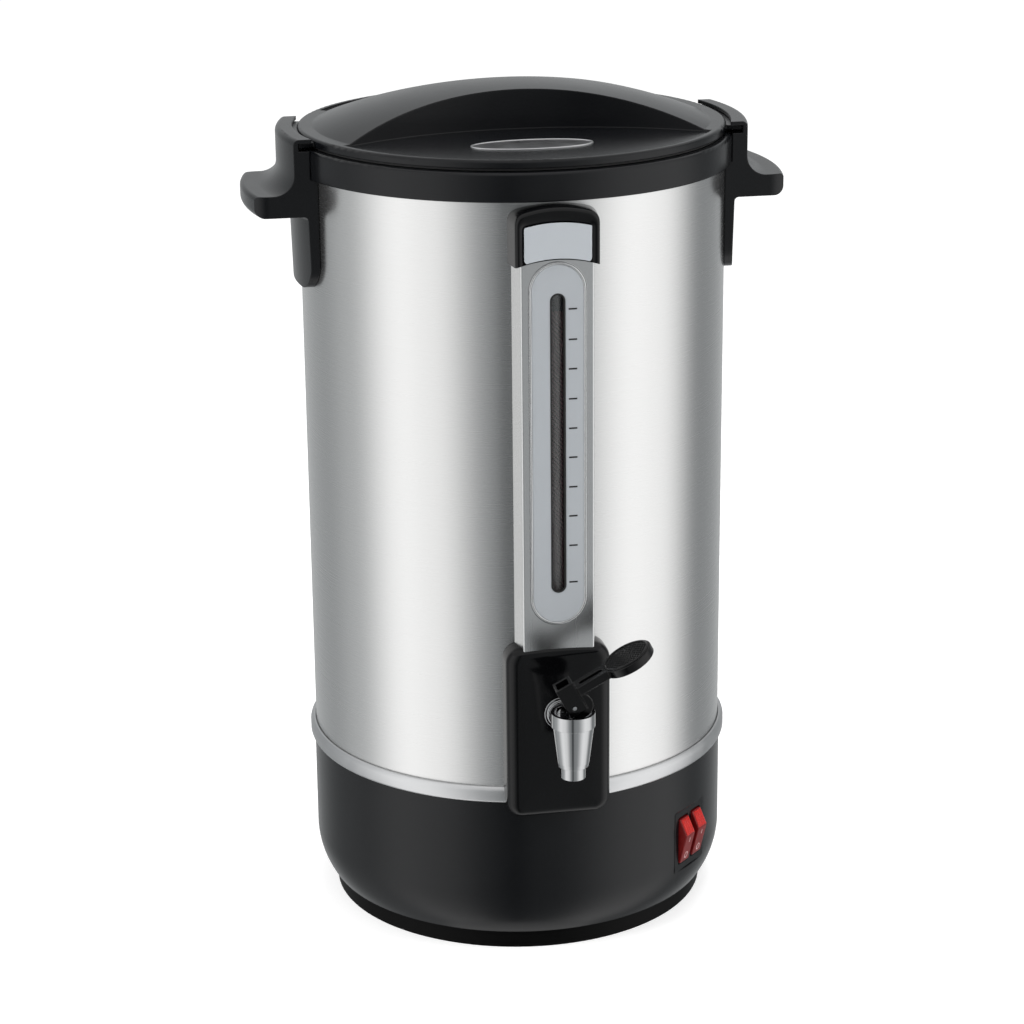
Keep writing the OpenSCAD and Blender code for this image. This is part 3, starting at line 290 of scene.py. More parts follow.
@dataclass(frozen=True)
class BrushedSteel(Finish):
    """Stainless sheet with fine brush lines."""

    brush: Brush
    colour: Colour = (0.64, 0.64, 0.635)
    roughness: float = 0.27
    anisotropy: float = 0.6
    line_mm: float = 0.35
    streak_mm: float = 45.0
    depth_mm: float = 0.004
    edge_mm: float = 0.3
    contrast: float = 1.0

    def dress(self, graph: Graph, shader: bpy.types.Node) -> None:
        """Draw long thin streaks along the brush and spread highlights across them."""
        fine, long = 1000.0 / self.line_mm, 1000.0 / self.streak_mm
        if self.brush is Brush.ROUND:
            radius = 0.15
            lines = graph.wrapped(long * radius, fine)
            broad = graph.wrapped(long * radius * 0.35, fine * 0.07)
            tangent = graph.add("Tangent", direction_type="RADIAL", axis="Z")
            graph.put(tangent.outputs[0], shader.inputs["Tangent"])
            shader.inputs["Anisotropic Rotation"].default_value = 0.25
        else:
            lines = graph.stretched((fine, fine * 0.2, long))
            broad = graph.stretched((fine * 0.07, fine * 0.02, long * 0.35))
        streak = graph.noise(lines, 1.0, 3.0)
        cloud = graph.noise(broad, 1.0, 2.0)
        dark = tuple(c * (1.0 - 0.04 * self.contrast) for c in self.colour)
        light = tuple(min(1.0, c * (1.0 + 0.03 * self.contrast)) for c in self.colour)
        graph.put(graph.blend(streak, dark, light), shader.inputs["Base Color"])
        both = graph.math("ADD", graph.math("MULTIPLY", streak, 0.65), graph.math("MULTIPLY", cloud, 0.35))
        vary = 0.04 * self.contrast
        rough = graph.spread(both, self.roughness - vary, self.roughness + vary)
        graph.put(rough, shader.inputs["Roughness"])
        relief = graph.bump(streak, 0.5 * self.contrast, self.depth_mm, self.edge_mm)
        graph.put(relief, shader.inputs["Normal"])
        shader.inputs["Metallic"].default_value = 1.0
        shader.inputs["Anisotropic"].default_value = self.anisotropy


@dataclass(frozen=True)
class Metal(Finish):
    """Plain metal: plated, turned or rolled."""

    colour: Colour
    roughness: float
    grain_mm: float = 0.8
    depth_mm: float = 0.004
    edge_mm: float = 0.25
    wear: float = 0.05

    def dress(self, graph: Graph, shader: bpy.types.Node) -> None:
        """Vary roughness and colour with a fine grain and faint clouds."""
        grain = graph.noise(graph.place(), 1000.0 / self.grain_mm, 3.0)
        cloud = graph.noise(graph.place(), 90.0, 2.0)
        dull = tuple(c * (1.0 - 2.0 * self.wear) for c in self.colour)
        graph.put(graph.blend(cloud, dull, self.colour), shader.inputs["Base Color"])
        rough = graph.spread(cloud, self.roughness * 0.75, self.roughness * 1.3)
        graph.put(rough, shader.inputs["Roughness"])
        graph.put(graph.bump(grain, 0.25, self.depth_mm, self.edge_mm), shader.inputs["Normal"])
        shader.inputs["Metallic"].default_value = 1.0


@dataclass(frozen=True)
class MouldedPlastic(Finish):
    """Injection-moulded plastic with a fine grain."""

    colour: Colour
    roughness: float = 0.36
    grain_mm: float = 0.6
    depth_mm: float = 0.03
    grain: float = 0.25
    edge_mm: float = 0.8
    specular: float = 0.5

    def dress(self, graph: Graph, shader: bpy.types.Node) -> None:
        """Add grain and faint cloudiness."""
        grain = graph.noise(graph.place(), 1000.0 / self.grain_mm, 2.0)
        cloud = graph.noise(graph.place(), 35.0, 3.0)
        pale = tuple(c * 1.25 + 0.001 for c in self.colour)
        graph.put(graph.blend(cloud, self.colour, pale), shader.inputs["Base Color"])
        rough = graph.spread(cloud, self.roughness * 0.88, self.roughness * 1.12)
        graph.put(rough, shader.inputs["Roughness"])
        graph.put(graph.bump(grain, self.grain, self.depth_mm, self.edge_mm), shader.inputs["Normal"])
        shader.inputs["Specular IOR Level"].default_value = self.specular


@dataclass(frozen=True)
class Lacquer(Finish):
    """Metallic lacquer on a pressed plate."""

    colour: Colour
    roughness: float = 0.38
    edge_mm: float = 0.4

    def dress(self, graph: Graph, shader: bpy.types.Node) -> None:
        """Add fine flakes under a satin surface."""
        flake = graph.noise(graph.place(), 3200.0, 1.0)
        cloud = graph.noise(graph.place(), 25.0, 2.0)
        dark = tuple(c * 0.93 for c in self.colour)
        light = tuple(min(1.0, c * 1.06) for c in self.colour)
        graph.put(graph.blend(flake, dark, light), shader.inputs["Base Color"])
        rough = graph.spread(cloud, self.roughness - 0.05, self.roughness + 0.05)
        graph.put(rough, shader.inputs["Roughness"])
        graph.put(graph.bump(flake, 0.08, 0.01, self.edge_mm), shader.inputs["Normal"])
        shader.inputs["Metallic"].default_value = 0.12


@dataclass(frozen=True)
class StripedStrip(Finish):
    """Printed strip behind the sight tube with slanting stripes."""

    dark: Colour = (0.040, 0.022, 0.028)
    red: Colour = (0.125, 0.066, 0.076)
    plain: Colour = (0.024, 0.028, 0.036)
    pitch_mm: float = 3.1
    slant: float = 1.1
    top_m: float = 0.4713

    def dress(self, graph: Graph, shader: bpy.types.Node) -> None:
        """Draw slanting stripes that end in a plain dark field at the top."""
        split = graph.add("SeparateXYZ")
        graph.put(graph.place(), split.inputs[0])
        across = graph.math("MULTIPLY", split.outputs["X"], self.slant)
        climb = graph.math("ADD", split.outputs["Z"], across)
        wave = graph.math("SINE", graph.math("MULTIPLY", climb, 2.0 * math.pi / (self.pitch_mm * MM)))
        soft = graph.add("MapRange", interpolation_type="SMOOTHSTEP", From_Min=-0.35, From_Max=0.35)
        graph.put(wave, soft.inputs["Value"])
        below = graph.math("LESS_THAN", split.outputs["Z"], self.top_m)
        stripes = graph.blend(soft.outputs["Result"], self.dark, self.red)
        graph.put(graph.blend(below, self.plain, stripes), shader.inputs["Base Color"])
        shader.inputs["Roughness"].default_value = 0.4


@dataclass(frozen=True)
class ClearTube(Finish):
    """Clear drawn tube."""

    tint: Colour = (0.93, 0.96, 0.95)

    def dress(self, graph: Graph, shader: bpy.types.Node) -> None:
        """Let light through with faint draw marks."""
        marks = graph.noise(graph.stretched((900.0, 900.0, 20.0)), 1.0, 1.0)
        shader.inputs["Base Color"].default_value = (*self.tint, 1.0)
        shader.inputs["Alpha"].default_value = 0.06
        shader.inputs["IOR"].default_value = 1.47
        graph.put(graph.spread(marks, 0.01, 0.05), shader.inputs["Roughness"])


@dataclass(frozen=True)
class TintedPlastic(Finish):
    """Translucent coloured plastic of a rocker; its two reds in the book are a shaded and a lit copy of one
    plastic, painted shade and painted light.
    """

    colour: Colour
    roughness: float = 0.22

    def dress(self, graph: Graph, shader: bpy.types.Node) -> None:
        """Mix a deep body colour with some light let through."""
        cloud = graph.noise(graph.place(), 260.0, 2.0)
        deep = tuple(c * 0.72 for c in self.colour)
        graph.put(graph.blend(cloud, deep, self.colour), shader.inputs["Base Color"])
        rough = graph.spread(cloud, self.roughness * 0.8, self.roughness * 1.25)
        graph.put(rough, shader.inputs["Roughness"])
        graph.put(graph.bump(cloud, 0.05, 0.05, 0.5), shader.inputs["Normal"])
        shader.inputs["Transmission Weight"].default_value = 0.1
        shader.inputs["Specular IOR Level"].default_value = 0.3


@dataclass(frozen=True)
class Rubber(Finish):
    """Matte rubber or silicone."""

    colour: Colour
    roughness: float = 0.62

    def dress(self, graph: Graph, shader: bpy.types.Node) -> None:
        """Add a dusty fine grain."""
        grain = graph.noise(graph.place(), 1500.0, 3.0)
        pale = tuple(min(1.0, c * 1.2 + 0.004) for c in self.colour)
        graph.put(graph.blend(grain, self.colour, pale), shader.inputs["Base Color"])
        rough = graph.spread(grain, self.roughness - 0.08, self.roughness + 0.08)
        graph.put(rough, shader.inputs["Roughness"])
        graph.put(graph.bump(grain, 0.2, 0.03, 0.4), shader.inputs["Normal"])


@dataclass
class FinishBook:
    """All finishes of the urn and the record's slots that they dress."""

    finishes: dict[str, Finish] = field(default_factory=lambda: {
        "black_plastic": MouldedPlastic((0.0028, 0.0032, 0.0040), 0.24, specular=0.27, edge_mm=1.2),
        "gloss_black": MouldedPlastic((0.0012, 0.0013, 0.0016), 0.12, grain=0.02, specular=0.24),
        "lever_black": MouldedPlastic((0.0010, 0.0010, 0.0012), 0.13, grain=0.05, specular=0.26),
        "foot_rubber": MouldedPlastic((0.002, 0.002, 0.002), 0.45, specular=0.05),
        "satin_trim": Metal((0.60, 0.605, 0.61), 0.34, edge_mm=0.6),
        "jacket_steel": BrushedSteel(Brush.ROUND, line_mm=0.22, streak_mm=120.0, depth_mm=0.0016,
                                     contrast=0.45),
        "channel_steel": BrushedSteel(Brush.LENGTH, (0.63, 0.635, 0.635), anisotropy=0.0, line_mm=0.4,
                                      streak_mm=150.0, depth_mm=0.0006, edge_mm=0.6, contrast=0.3),
        "tank_steel": BrushedSteel(Brush.ROUND, (0.62, 0.62, 0.62), 0.33),
        "panel_grey": Lacquer((0.43, 0.455, 0.48)),
        "label_grey": Lacquer((0.50, 0.53, 0.56), 0.32),
        "plate_bare": Metal((0.30, 0.30, 0.31), 0.3),
        "black_rubber": Rubber((0.011, 0.011, 0.011)),
        "stripe_red": StripedStrip(),
        "tube_glass": ClearTube(),
        "brass": Metal((0.72, 0.53, 0.24), 0.3),
        "silicone": Rubber((0.70, 0.68, 0.62), 0.5),
        "tap_chrome": Metal((0.46, 0.465, 0.47), 0.055, depth_mm=0.001, wear=0.02),
        "hardware_steel": Metal((0.52, 0.53, 0.54), 0.3),
        "heater_sheath": Metal((0.20, 0.17, 0.15), 0.55),
        "plate_aluminium": Metal((0.70, 0.71, 0.72), 0.4),
        "ceramic": Rubber((0.74, 0.71, 0.64), 0.6),
        # One red plastic in a shaded and a lit copy: the dark body red is painted shade on the rocker's lower
        # face and sides, the bright lens red is painted light on its ribbed upper face.
        "rocker_red": TintedPlastic((0.24, 0.009, 0.009), 0.3),
        "rocker_lens_painted_light": TintedPlastic((0.70, 0.018, 0.012)),
        "sign_print": Rubber((0.76, 0.52, 0.52), 0.4),
        # Dark grey of the line round the gauge panel: painted shade of the gap between the panel and the
        # channel.
        "painted_gap_shade": Rubber((0.075, 0.08, 0.085), 0.5),
    })
    made: dict[str, bpy.types.Material] = field(default_factory=dict)

    def material(self, slot: str) -> bpy.types.Material:
        """Give a slot's material, made at its first use.

        Args:
            slot: slot of the record.

        Returns:
            The material.
        """
        if slot not in self.made:
            self.made[slot] = self.finishes[slot].build(slot)
        return self.made[slot]

    def dress_frame(self) -> None:
        """Give every node of the frame its finish."""
        for part in frame["record"]["subparts"]:
            node = frame["nodes"][part["node"]]
            node.data.materials.clear()
            node.data.materials.append(self.material(part["material_slot"]))
            LOG.info("dressed %s in %s", part["node"], part["material_slot"])


@dataclass(frozen=True)
class Lamp:
    """Soft square lamp beside or over the urn; its turn is measured from the camera's side."""

    name: str
    turn_deg: float
    distance: float
    height: float
    size: float
    power: float


@dataclass
class Studio:
    """Camera, floor, lamps and the wall that the metal mirrors.

    The wall's levels are brightnesses by direction, in degrees from the camera's side.
    """

    eye: Point = (-0.3497, -1.9148, 0.91807)
    aim: Point = (0.0, 0.0, 0.2835)
    roll_deg: float = -0.5372
    lens_px: float = 2794.4
    image_px: int = 1024
    centre_px: tuple[float, float] = (514.948, 512.004)
    floor_m: float = 16.0
    wall_r: float = 3.2
    wall_low: float = -9.0
    wall_high: float = 2.6
    wall_sides: int = 96
    wall_levels: tuple[tuple[float, float], ...] = (
        (-180, 0.62), (-122, 0.42), (-98, 0.60), (-62, 1.46), (-44, 1.30), (-10, 0.37), (-5, 0.12),
        (1, 0.12), (6, 0.37), (20, 0.44), (66, 1.46), (84, 1.36), (118, 0.32), (180, 0.62))
    lamps: tuple[Lamp, ...] = (
        Lamp("lamp_left", -58.0, 1.9, 1.3, 1.1, 22.0),
        Lamp("lamp_right", 72.0, 1.9, 1.2, 1.0, 16.0),
        Lamp("lamp_top", 150.0, 0.6, 2.2, 1.2, 16.0))

    def build(self) -> None:
        """Set up everything that isn't part of the urn."""
        self.add_camera()
        self.add_world()
        self.add_floor()
        self.add_wall()
        self.add_lamps()

    def facing(self) -> float:
        """Direction from the urn to the camera, in radians from +X."""
        return math.atan2(self.eye[1], self.eye[0])

    def add_camera(self) -> None:
        """Place the camera where the photograph was taken from."""
        data = bpy.data.cameras.new("camera")
        data.sensor_width = 36.0
        data.lens = self.lens_px * data.sensor_width / self.image_px
        half = self.image_px / 2.0
        data.shift_x = (half - self.centre_px[0]) / self.image_px
        data.shift_y = (self.centre_px[1] - half) / self.image_px
        look = (Vector(self.aim) - Vector(self.eye)).normalized()
        right = look.cross(Vector((0.0, 0.0, 1.0))).normalized()
        up = right.cross(look)
        roll = math.radians(self.roll_deg)
        side = right * math.cos(roll) + up * math.sin(roll)
        top = up * math.cos(roll) - right * math.sin(roll)
        axes = Matrix((side, top, -look)).transposed().to_4x4()
        camera = bpy.data.objects.new("camera", data)
        camera.matrix_world = Matrix.Translation(self.eye) @ axes
        bpy.context.scene.collection.objects.link(camera)
        bpy.context.scene.camera = camera
        bpy.context.scene.view_settings.view_transform = "Standard"

    def seen_rays(self, graph: Graph) -> bpy.types.NodeSocket:
        """Rays that should meet a white background: seen, mirrored or passed through."""
        path = graph.add("LightPath")
        seen = graph.math("MAXIMUM", path.outputs["Is Camera Ray"], path.outputs["Is Glossy Ray"])
        return graph.math("MAXIMUM", seen, path.outputs["Is Transmission Ray"])

    def add_world(self) -> None:
        """Light all round, white where it is seen."""
        world = bpy.data.worlds.new("studio")
        bpy.context.scene.world = world
        world.use_nodes = True
        graph = Graph(world.node_tree)
        ambient = graph.add("Background", Color=(1.0, 1.0, 1.0), Strength=0.62)
        white = graph.add("Background", Color=(1.0, 1.0, 1.0), Strength=1.0)
        mix = graph.add("MixShader")
        graph.put(self.seen_rays(graph), mix.inputs[0])
        graph.put(ambient.outputs[0], mix.inputs[1])
        graph.put(white.outputs[0], mix.inputs[2])
        output = graph.add("OutputWorld")
        graph.put(mix.outputs[0], output.inputs["Surface"])

    def add_floor(self) -> None:
        """Lay a pale floor that stays white where it is seen and keeps the urn's shadow."""
        mesh = bpy.data.meshes.new("floor")
        half = self.floor_m / 2.0
        corners = [(-half, -half, 0), (half, -half, 0), (half, half, 0), (-half, half, 0)]
        mesh.from_pydata(corners, [], [(0, 1, 2, 3)])
        floor = bpy.data.objects.new("floor", mesh)
        bpy.context.scene.collection.objects.link(floor)
        material = bpy.data.materials.new("floor")
        material.use_nodes = True
        graph = Graph(material.node_tree)
        matte = graph.add("BsdfDiffuse", Color=(0.80, 0.80, 0.80))
        glow = graph.add("Emission", Color=(1.0, 1.0, 1.0))
        graph.put(graph.math("MULTIPLY", self.seen_rays(graph), 0.52), glow.inputs["Strength"])
        total = graph.add("AddShader")
        graph.put(matte.outputs[0], total.inputs[0])
        graph.put(glow.outputs[0], total.inputs[1])
        output = graph.add("OutputMaterial")
        graph.put(total.outputs[0], output.inputs["Surface"])
        mesh.materials.append(material)
        floor.visible_glossy = False

    def add_wall(self) -> None:
        """Stand a round wall with two soft bright panels that only mirrors see."""
        sides = self.wall_sides
        mesh = bpy.data.meshes.new("mirror_wall")
        angles = [2 * math.pi * i / sides for i in range(sides)]
        ring = [(self.wall_r * math.cos(angle), self.wall_r * math.sin(angle)) for angle in angles]
        points = [(x, y, z) for z in (self.wall_low, self.wall_high) for x, y in ring]
        faces = [(i, (i + 1) % sides, sides + (i + 1) % sides, sides + i) for i in range(sides)]
        mesh.from_pydata(points, [], faces)
        wall = bpy.data.objects.new("mirror_wall", mesh)
        bpy.context.scene.collection.objects.link(wall)
        material = bpy.data.materials.new("mirror_wall")
        material.use_nodes = True
        graph = Graph(material.node_tree)
        split = graph.add("SeparateXYZ")
        graph.put(graph.place(), split.inputs[0])
        face = self.facing()
        ahead = graph.math("ADD", graph.math("MULTIPLY", split.outputs["X"], math.cos(face)),
                           graph.math("MULTIPLY", split.outputs["Y"], math.sin(face)))
        aside = graph.math("SUBTRACT", graph.math("MULTIPLY", split.outputs["Y"], math.cos(face)),
                           graph.math("MULTIPLY", split.outputs["X"], math.sin(face)))
        turn = graph.math("ARCTAN2", aside, ahead)
        ramp = graph.add("ValToRGB")
        ramp.color_ramp.interpolation = "EASE"
        elements = ramp.color_ramp.elements
        for index, (degrees, level) in enumerate(self.wall_levels):
            at = (degrees + 180.0) / 360.0
            element = elements[index] if index < 2 else elements.new(at)
            element.position = at
            cool = max(0.0, 1.0 - level)
            half = level / 2.0
            element.color = (half * (1.0 - 0.06 * cool), half, half * (1.0 + 0.03 * cool), 1.0)
        share = graph.math("ADD", graph.math("DIVIDE", turn, 2.0 * math.pi), 0.5)
        graph.put(graph.spread(share, 0.0, 1.0), ramp.inputs[0])
        glow = graph.add("Emission", Strength=2.0)
        graph.put(ramp.outputs["Color"], glow.inputs["Color"])
        output = graph.add("OutputMaterial")
        graph.put(glow.outputs[0], output.inputs["Surface"])
        mesh.materials.append(material)
        wall.visible_camera = False
        wall.visible_diffuse = False
        wall.visible_transmission = False
        wall.visible_shadow = False

    def add_lamps(self) -> None:
        """Hang the soft lamps round the urn, turned to its middle."""
        middle = Vector((0.0, 0.0, 0.3))
        for lamp in self.lamps:
            data = bpy.data.lights.new(lamp.name, "AREA")
            data.shape = "SQUARE"
            data.size = lamp.size
            data.energy = lamp.power
            light = bpy.data.objects.new(lamp.name, data)
            turn = self.facing() + math.radians(lamp.turn_deg)
            spot = Vector((lamp.distance * math.cos(turn), lamp.distance * math.sin(turn), lamp.height))
            look = (middle - spot).to_track_quat("-Z", "Y")
            light.matrix_world = Matrix.Translation(spot) @ look.to_matrix().to_4x4()
            bpy.context.scene.collection.objects.link(light)
            light.visible_glossy = False


@dataclass
class Builder:
    """Makes dressed pieces from plain mesh data."""

    book: FinishBook
    slots: dict[str, str] = field(default_factory=lambda: {
        part["node"]: part["material_slot"] for part in frame["record"]["subparts"]})

    def piece(self, name: str, mesh: bmesh.types.BMesh, body: str, slot: str, sharp_deg: float = 40.0,
              weighted: bool = False, finish: str = "") -> bpy.types.Object:
        """Turn mesh data into a piece that rides on a body.

        Args:
            name: name of the piece.
            mesh: its mesh data, freed here.
            body: body that carries it.
            slot: material slot of the record.
            sharp_deg: angle above which an edge is shaded sharp.
            weighted: whether broad faces set the shading beside rounded edges.
            finish: name of a finish of its own, where it isn't the slot's.

        Returns:
            The piece.
        """
        data = bpy.data.meshes.new(name)
        bmesh.ops.recalc_face_normals(mesh, faces=mesh.faces)
        for face in mesh.faces:
            face.smooth = True
        mesh.to_mesh(data)
        mesh.free()
        data.set_sharp_from_angle(angle=math.radians(sharp_deg))
        piece = self.mount(name, data, body, slot, finish)
        if weighted:
            normals = piece.modifiers.new("broad faces", "WEIGHTED_NORMAL")
            normals.keep_sharp = True
        return piece

    def mount(self, name: str, data: bpy.types.Mesh, body: str, slot: str,
              finish: str = "") -> bpy.types.Object:
        """Dress a finished mesh and let it ride on a body.

        Args:
            name: name of the piece.
            data: its mesh.
            body: body that carries it.
            slot: material slot of the record.
            finish: name of a finish of its own, where it isn't the slot's.

        Returns:
            The piece.
        """
        data.materials.clear()
        data.materials.append(self.book.material(finish or slot))
        piece = bpy.data.objects.new(name, data)
        bpy.context.scene.collection.objects.link(piece)
        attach(piece, body)
        LOG.info("added %s on %s", name, body)
        return piece

    def turned(self, node: str, axis_y_mm: float = 0.0, most_deg: float = 4.0) -> bpy.types.Object:
        """Shade the turned walls of a frame piece straight out from their axis, on a copy that stands for it.

        Args:
            node: node of the frame, turned about an upright axis.
            axis_y_mm: place of the axis along Y.
            most_deg: stray from the radial direction up to which a corner's shading is mended.

        Returns:
            The copy.
        """
        source = frame["nodes"][node]
        data = source.data.copy()
        least = math.cos(math.radians(most_deg))
        axis = Vector((0.0, axis_y_mm * MM))
        normals = []
        for face in data.polygons:
            middle = face.center.xy - axis
            wall = abs(face.normal.xy.normalized().dot(middle.normalized())) > least
            side = 1.0 if face.normal.xy.dot(middle) > 0.0 else -1.0
            for corner in face.loop_indices:
                normal = Vector(source.data.corner_normals[corner].vector)
                if wall:
                    spot = data.vertices[data.loops[corner].vertex_index].co.xy
                    out = (spot - axis).normalized() * side
                    if normal.xy.normalized().dot(out) < least:
                        normal = face.normal.copy()
                    normal.xy = out * normal.xy.length
                normals.append(normal)
        data.normals_split_custom_set(normals)
        copy = self.mount(node + "_turned", data, source["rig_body"], self.slots[node])
        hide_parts(node)
        return copy

    def rounded(self, node: str, radius_mm: float, segments: int = 3, least_deg: float = 30.0,
                finish: str = "") -> bpy.types.Object:
        """Join the seams of a frame piece and round its edges, on a copy that stands for it.

        Args:
            node: node of the frame.
            radius_mm: radius of the edges.
            segments: faces across each rounded edge.
            least_deg: angle from which an edge is rounded.
            finish: name of a finish of its own, where it isn't the node's.

        Returns:
            The copy.
        """
        source = frame["nodes"][node]
        mesh = bmesh.new()
        mesh.from_mesh(source.data)
        bmesh.ops.remove_doubles(mesh, verts=mesh.verts, dist=0.002 * MM)
        bmesh.ops.dissolve_limit(mesh, angle_limit=math.radians(0.6), verts=mesh.verts, edges=mesh.edges)
        bmesh.ops.dissolve_degenerate(mesh, edges=mesh.edges, dist=0.1 * MM)
        edges = [edge for edge in mesh.edges
                 if len(edge.link_faces) == 2 and edge.calc_face_angle() > math.radians(least_deg)]
        bmesh.ops.bevel(mesh, geom=edges, offset=radius_mm * MM, offset_type="OFFSET", segments=segments,
                        profile=0.5, affect="EDGES", clamp_overlap=False)
        copy = self.piece(node + "_rounded", mesh, source["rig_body"], self.slots[node], weighted=True,
                          finish=finish)
        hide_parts(node)
        return copy


@dataclass
class GaugeMarks:
    """Printed marks beside the slot of the scale panel, and a painted shadow line round the panel."""

    builder: Builder
    heights_mm: tuple[float, ...] = (285.2, 311.4, 332.3, 352.8, 373.5, 393.7, 414.1, 434.7, 454.8, 475.5)
    left_mm: float = 7.3
    right_mm: float = 13.0
    thick_mm: float = 1.1
    face_y_mm: float = -163.4
    proud_mm: float = 0.12
    panel: str = "gauge_panel"
    line_mm: float = 0.6
    line_inset_mm: float = -0.2
    line_steps: int = 96

    def build(self) -> None:
        """Print a short bar at each height and paint a fine shadow line round the panel."""
        self.add_line()
        mesh = bmesh.new()
        for z in self.heights_mm:
            centre = Vector(((self.left_mm + self.right_mm) / 2, self.face_y_mm - self.proud_mm / 2, z)) * MM
            size = Vector((self.right_mm - self.left_mm, self.proud_mm, self.thick_mm)) * MM
            bar = Matrix.Translation(centre) @ Matrix.Diagonal((*size, 1.0))
            bmesh.ops.create_cube(mesh, size=1.0, matrix=bar)
        self.builder.piece("gauge_marks", mesh, Ride.URN.value, "black_rubber")

    def add_line(self) -> None:
        """Paint a fine dark line along the panel's edge: painted shade of the gap between panel and channel,
        laid over the panel's edge highlight.
        """
        low, high = (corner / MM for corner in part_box(self.panel))
        half = (high.x - low.x) / 2
        mesh = bmesh.new()
        rows = []
        for inset in (self.line_inset_mm, self.line_inset_mm + self.line_mm):
            row = []
            for step in range(self.line_steps):
                angle = 2 * math.pi * (step + 0.5) / self.line_steps
                centre = high.z - half if math.sin(angle) > 0 else low.z + half
                row.append(mesh.verts.new(Vector(((half - inset) * math.cos(angle), low.y - self.proud_mm / 2,
                                                  centre + (half - inset) * math.sin(angle))) * MM))
            rows.append(row)
        stitch(mesh, rows)
        # Painted shadow line over the gap round the panel.
        self.builder.piece("gauge_gap_shade", mesh, Ride.URN.value, "black_rubber", finish="painted_gap_shade")


@dataclass
class TapShield:
    """Pillowed cover behind the tap."""

    builder: Builder
    node: str = "tap_shield"
    half_mm: float = 36.5
    corner_mm: float = 11.0
    arch_mm: float = 2.0
    edge_mm: float = 8.0
    crown_mm: float = 0.8
    jacket_mm: float = 150.6
    corner_steps: int = 8
    edge_steps: int = 7
    side_steps: int = 12
    crown_steps: int = 4

    def outline(self, low: float, high: float) -> list[Vector]:
        """Rounded front outline, anticlockwise.

        Args:
            low: height of the lower edge.
            high: height of the upper edge's middle.

        Returns:
            Points across and up, in millimetres.
        """
        half, corner = self.half_mm, self.corner_mm
        top = high - self.arch_mm
        points = []
        for x, z, turn in ((half - corner, low + corner, -90.0), (half - corner, top - corner, 0.0),
                           (corner - half, top - corner, 90.0), (corner - half, low + corner, 180.0)):
            for step in range(self.corner_steps + 1):
                angle = math.radians(turn + 90.0 * step / self.corner_steps)
                points.append(Vector((x + corner * math.cos(angle), z + corner * math.sin(angle))))
        middle = 2 * (self.corner_steps + 1)
        left, right = points[middle], points[middle - 1]
        across = [right.lerp(left, step / self.side_steps) for step in range(1, self.side_steps)]
        points[middle:middle] = across
        for point in points:
            lift = max(0.0, 1.0 - (point.x / half) ** 2)
            share = (point.y - low) / (top - low)
            point.y += self.arch_mm * lift * share ** 4
        return points

    def build(self) -> None:
        """Loft the cover from the jacket over its rounded edge to its crowned front."""
        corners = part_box(self.node)
        low, high, front = corners[0].z / MM, corners[1].z / MM, corners[0].y / MM
        outline = self.outline(low, high)
        count = len(outline)
        normals = []
        for index, point in enumerate(outline):
            along = (outline[(index + 1) % count] - outline[index - 1]).normalized()
            normals.append(Vector((-along.y, along.x)))
        back = [(point, -math.sqrt(self.jacket_mm ** 2 - point.x ** 2)) for point in outline]
        rings = [back]
        start = front + self.crown_mm + self.edge_mm
        for step in range(self.edge_steps + 1):
            angle = math.pi / 2 * step / self.edge_steps
            inset, depth = self.edge_mm * (1 - math.cos(angle)), self.edge_mm * math.sin(angle)
            rings.append([(point + normal * inset, start - depth) for point, normal in zip(outline, normals)])
        reach = self.half_mm - self.edge_mm
        spine_low, spine_high = low + self.edge_mm + reach, high - self.edge_mm - reach
        rim = [point for point, _ in rings[-1]]
        for step in range(1, self.crown_steps + 1):
            share = step / self.crown_steps
            level = front + self.crown_mm * (1 - share) ** 2
            ring = []
            for point in rim:
                spine = Vector((0.0, min(max(point.y, spine_low), spine_high)))
                ring.append((point.lerp(spine, share), level))
            rings.append(ring)
        mesh = bmesh.new()
        rows = [[mesh.verts.new(Vector((point.x, y, point.y)) * MM) for point, y in ring] for ring in rings]
        stitch(mesh, rows)
        bmesh.ops.remove_doubles(mesh, verts=mesh.verts, dist=0.01 * MM)
        bmesh.ops.dissolve_degenerate(mesh, edges=mesh.edges, dist=0.01 * MM)
        piece = self.builder.piece("tap_shield_cover", mesh, Ride.URN.value, "gloss_black", sharp_deg=60.0)
        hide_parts(self.node)


@dataclass(frozen=True)
class ArchedOutline:
    """Outline with upright sides between an arched top and a hollow foot."""

    half_mm: float
    low_mm: float
    top_mm: float
    rise_mm: float
    hollow_mm: float
    corner_mm: float
    foot_steps: int = 16
    side_steps: int = 6
    corner_steps: int = 8
    arch_steps: int = 20

    def arch(self, x: float) -> float:
        """Height of the arched top at a distance from the middle."""
        return self.top_mm - self.rise_mm * (x / self.half_mm) ** 2

    def points(self) -> list[Vector]:
        """Go round the outline anticlockwise from the lower left corner.

        Returns:
            Points across and up, in millimetres.
        """
        half, corner = self.half_mm, self.corner_mm
        shoulder = self.arch(half)
        foot = [-half + 2 * half * step / self.foot_steps for step in range(self.foot_steps)]
        points = [Vector((x, self.low_mm + self.hollow_mm * (1 - (x / half) ** 2))) for x in foot]
        side_top = shoulder - corner
        points += [Vector((half, self.low_mm + (side_top - self.low_mm) * step / self.side_steps))
                   for step in range(self.side_steps)]
        start, bend = Vector((half, side_top)), Vector((half, shoulder))
        end = Vector((half - corner, self.arch(half - corner)))
        turn = []
        for step in range(self.corner_steps):
            share = step / self.corner_steps
            turn.append(start.lerp(bend, share).lerp(bend.lerp(end, share), share))
        points += turn
        across = [end.x - 2 * end.x * step / self.arch_steps for step in range(self.arch_steps + 1)]
        points += [Vector((x, self.arch(x))) for x in across]
        points += [Vector((-point.x, point.y)) for point in reversed(turn)]
        points += [Vector((-half, side_top - (side_top - self.low_mm) * step / self.side_steps))
                   for step in range(1, self.side_steps)]
        return points


